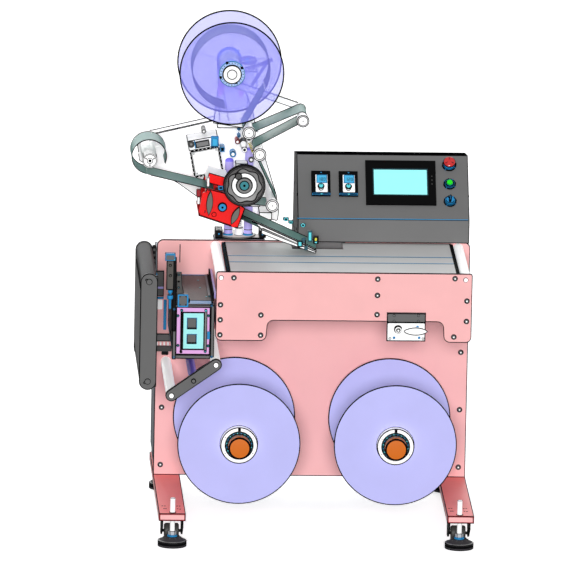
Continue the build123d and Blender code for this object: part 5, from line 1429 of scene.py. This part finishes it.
# ------------------------------------------------------------------ liner rewinder
RW = (-38.0, 1214.0)
P = Part("rewinder_mandrel", "rewinder", "white_metal", replaces=("liner_rewinder",))
F = front(RW[0], -236, RW[1])
P.lathe(F, [(0, -0.6), (4.6, -0.6), (5.0, 0), (8.0, 0), (8.4, -0.6), (9.6, -0.6), (10.0, 0), (19.6, 0), (20.0, -0.5), (21.4, -0.5), (21.8, 0), (23.2, -0.2), (24.5, -1.4),
            (24.5, -59), (23.6, -59.5), (23.6, -61), (24.5, -61.5), (24.5, -294), (10, -294), (10, -386)],
        [INK, INK, WHITE, INK, INK, INK, WHITE, INK, INK, INK, WHITE, INK, WHITE_T, INK, INK, INK, WHITE_T, INK, STEEL], 56)
for k in range(3):
    a = math.radians(30 + 120 * k)
    G = F @ Matrix.Rotation(a, 4, "Z")
    P.block(G, 11.5, 18, -1.6, 1.6, 0, 1.4, INK, r=0.8)
    P.block(G, 22.6, 25.6, -3.0, 3.0, -58, -4, MIDGREY, r=0.6)
P.build()
sheet_arc("liner_band", RW, 57.0, -23, 257, "rewinder", 60, reps=("liner_rewinder",), mat=WEBLINER)
sheet_arc("liner_band_inner", RW, 54.2, -23, 140, "rewinder", 30, reps=("liner_rewinder",), mat=WEBLINER)
P = Part("liner_band_rims", "rewinder", "dark_plastic", replaces=("liner_rewinder",))
for y in (-172.0, -46.0):
    P.lathe(front(RW[0], y, RW[1]), [(55.4, 0.9), (57.9, 0.9), (57.9, -0.9), (55.4, -0.9), (55.4, 0.9)], INK, 60, -23, 257)
P.build()
P = Part("liner_core_spokes", "rewinder", "white_metal", replaces=("liner_rewinder",))
F = front(RW[0], -60, RW[1])
for k in range(4):
    G = F @ Matrix.Rotation(math.radians(20 + 60 * k), 4, "Z")
    P.block(G, 26.5, 57.0, -1.2, 1.2, 0, 8, WHITE)
P.build()
P = Part("supply_core_spokes", "supply", "lilac_plastic", replaces=("label_roll",))
F = front(SUPPLY[0], -60, SUPPLY[1])
for k in range(4):
    G = F @ Matrix.Rotation(math.radians(10 + 75 * k), 4, "Z")
    P.block(G, 37.5, 127.4, -1.0, 1.0, 0, 6, LILAC)
P.build()

# dark edges of the web runs
P = Part("web_edges", "label_head", "teal_web")
for y in (WEB_Y0, WEB_Y1):
    for pa, pb in (((325.2, 1422.4), (267.92, 1317.78)), ((303.8, 1231.03), (377.9, 1075.97)), ((361.5, 1052.58), (246.55, 1063.83)),
                   ((238.97, 1035.42), (511.6, 912.33)), ((512.6, 905.99), (329.47, 978.08)), ((165.35, 1107.0), (-33.0, 1152.8))):
        P.tube(Matrix.Identity(4), [(pa[0], y, pa[1]), (pb[0], y, pb[1])], 1.6, INK, 6)
    for c, a0, a1 in ((RA, 151.3, 293.9), (RC, 25.5, -95.6), (RB, 118.8, 205.5)):
        P.tube(Matrix.Identity(4), [(c[0] + 16.6 * math.cos(math.radians(a0 + (a1 - a0) * k / 16)), y, c[1] + 16.6 * math.sin(math.radians(a0 + (a1 - a0) * k / 16)))
                                    for k in range(17)], 1.6, INK, 6)
P.build()
P = Part("web_edges_at_dancer", "dancer", "teal_web")
for y in (WEB_Y0, WEB_Y1):
    P.tube(Matrix.Identity(4), [(RD[0] + 16.6 * math.cos(math.radians(113.9 - 175.1 * k / 18)), y, RD[1] + 16.6 * math.sin(math.radians(113.9 - 175.1 * k / 18)))
                                for k in range(19)], 1.6, INK, 6)
P.build()
for nm, p_, q_, a_b, b_b in (("web_edges_to_dancer", (288.95, 1294.91), (450.65, 1366.69), "label_head", "dancer"),
                             ("web_edges_from_dancer", (465.19, 1337.33), (310.71, 1252.47), "dancer", "label_head")):
    P = Part(nm, None, "teal_web")
    for y in (WEB_Y0, WEB_Y1):
        P.tube(Matrix.Identity(4), [(p_[0] + (q_[0] - p_[0]) * k / 24, y, p_[1] + (q_[1] - p_[1]) * k / 24) for k in range(25)], 1.6, INK, 6)
    ob = P.build()
    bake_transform(ob)
P = Part("label_band_edges", "supply", "teal_web", replaces=("label_roll",))
for y in (WEB_Y0, WEB_Y1):
    P.tube(Matrix.Identity(4), [(SUPPLY[0] + 126.3 * math.cos(math.radians(a0_ + (a1_ - a0_) * k / 72)), y, SUPPLY[1] + 126.3 * math.sin(math.radians(a0_ + (a1_ - a0_) * k / 72)))
                                for k in range(73)], 1.15, INK, 6)
P.build()

# folded flange along the plate's upper edge
P = Part("head_flange", "label_head", "white_metal")
bar(P, F0(62), (-56, 1229.8), (258, 1305.2), 3.0, -52, -0.2, WHITE)
for y, r in ((62.4, 1.5), (114.0, 1.9)):
    P.tube(Matrix.Identity(4), [(-58, y, 1231.4), (258, y, 1307.2)], r, INK, 8)
P.tube(Matrix.Identity(4), [(-58, 62.4, 1231.4), (-58, 114.0, 1231.4)], 1.3, INK, 8)
P.build()

sheet("liner_lead", (-43.6, 1155.25), (-51.0, 1156.97), "label_head", 3, ())
sheet("label_lead", (333.9, 1438.24), (329.82, 1430.79), "label_head", 3, ())

# ------------------------------------------------------------------ stage, light and camera
floor_m = bpy.data.materials.new("pale_floor")
floor_m.use_nodes = True
fb = floor_m.node_tree.nodes["Principled BSDF"]
fb.inputs["Base Color"].default_value = (0.93, 0.93, 0.93, 1)
fb.inputs["Roughness"].default_value = 0.85
fb.inputs["Specular IOR Level"].default_value = 0.1
fb.inputs["Emission Color"].default_value = (1, 1, 1, 1)
fb.inputs["Emission Strength"].default_value = 0.62
fm = bpy.data.meshes.new("floor")
fm.from_pydata([(-60, -60, -0.0004), (60, -60, -0.0004), (60, 60, -0.0004), (-60, 60, -0.0004)], [], [[0, 1, 2, 3]])
fm.materials.append(floor_m)
floor = bpy.data.objects.new("floor", fm)
bpy.context.scene.collection.objects.link(floor)
floor.visible_diffuse = False
floor.visible_glossy = False
# low pale backdrop far behind, for the views close to the horizon
wm = bpy.data.meshes.new("backdrop")
wm.from_pydata([(-20, 20, -0.5), (60, 20, -0.5), (60, 20, 3), (-20, 20, 3), (-20, -60, -0.5), (-20, -60, 3)], [], [[0, 1, 2, 3], [4, 0, 3, 5]])
wm.materials.append(floor_m)
backdrop = bpy.data.objects.new("backdrop", wm)
bpy.context.scene.collection.objects.link(backdrop)
backdrop.visible_diffuse = False
backdrop.visible_glossy = False
backdrop.visible_shadow = False

world = bpy.data.worlds.new("soft_studio")
bpy.context.scene.world = world
world.use_nodes = True
bg = world.node_tree.nodes["Background"]
bg.inputs["Color"].default_value = (1, 1, 1, 1)
bg.inputs["Strength"].default_value = 0.24


def sun(name, energy, azimuth, elevation, angle):
    d = bpy.data.lights.new(name, "SUN")
    d.energy = energy
    d.angle = math.radians(angle)
    o = bpy.data.objects.new(name, d)
    a, e = math.radians(azimuth), math.radians(elevation)
    back = Vector((math.sin(a) * math.cos(e), -math.cos(a) * math.cos(e), math.sin(e)))
    o.rotation_mode = "QUATERNION"
    o.rotation_quaternion = (-back).to_track_quat("-Z", "Y")
    bpy.context.scene.collection.objects.link(o)


sun("camera_side_soft", 2.3, -2.75, 13, 12)
sun("overhead_soft", 0.30, 0, 89, 70)
sun("left_fill", 0.7, -95, 18, 50)
sun("right_fill", 0.7, 95, 18, 50)
sun("rear_fill", 1.9, 185, 18, 50)

a_, e_, r_ = math.radians(2.75), math.radians(12.7), math.radians(1.15)
right = Vector((math.cos(a_), -math.sin(a_), 0))
upv = Vector((math.sin(a_) * math.sin(e_), math.cos(a_) * math.sin(e_), math.cos(e_)))
look = Vector((math.sin(a_) * math.cos(e_), math.cos(a_) * math.cos(e_), -math.sin(e_)))
rr_ = right * math.cos(r_) + upv * math.sin(r_)
uu_ = upv * math.cos(r_) - right * math.sin(r_)
cam_d = bpy.data.cameras.new("camera")
cam_d.lens = 1000.0
cam_d.sensor_width = 36.0
cam_d.clip_start, cam_d.clip_end = 1.0, 400.0
cam = bpy.data.objects.new("camera", cam_d)
bpy.context.scene.collection.objects.link(cam)
target = Vector((-0.054, 0.0135, 0.779)) - look * 0.096
loc = target - look * (1.8484 * 1000.0 / 36.0)
cam.matrix_world = Matrix(((rr_.x, uu_.x, -look.x, loc.x), (rr_.y, uu_.y, -look.y, loc.y), (rr_.z, uu_.z, -look.z, loc.z), (0, 0, 0, 1)))
bpy.context.scene.camera = cam

vs = bpy.context.scene.view_settings
vs.view_transform = "Standard"
vs.look = "None"
vs.exposure = 0.0
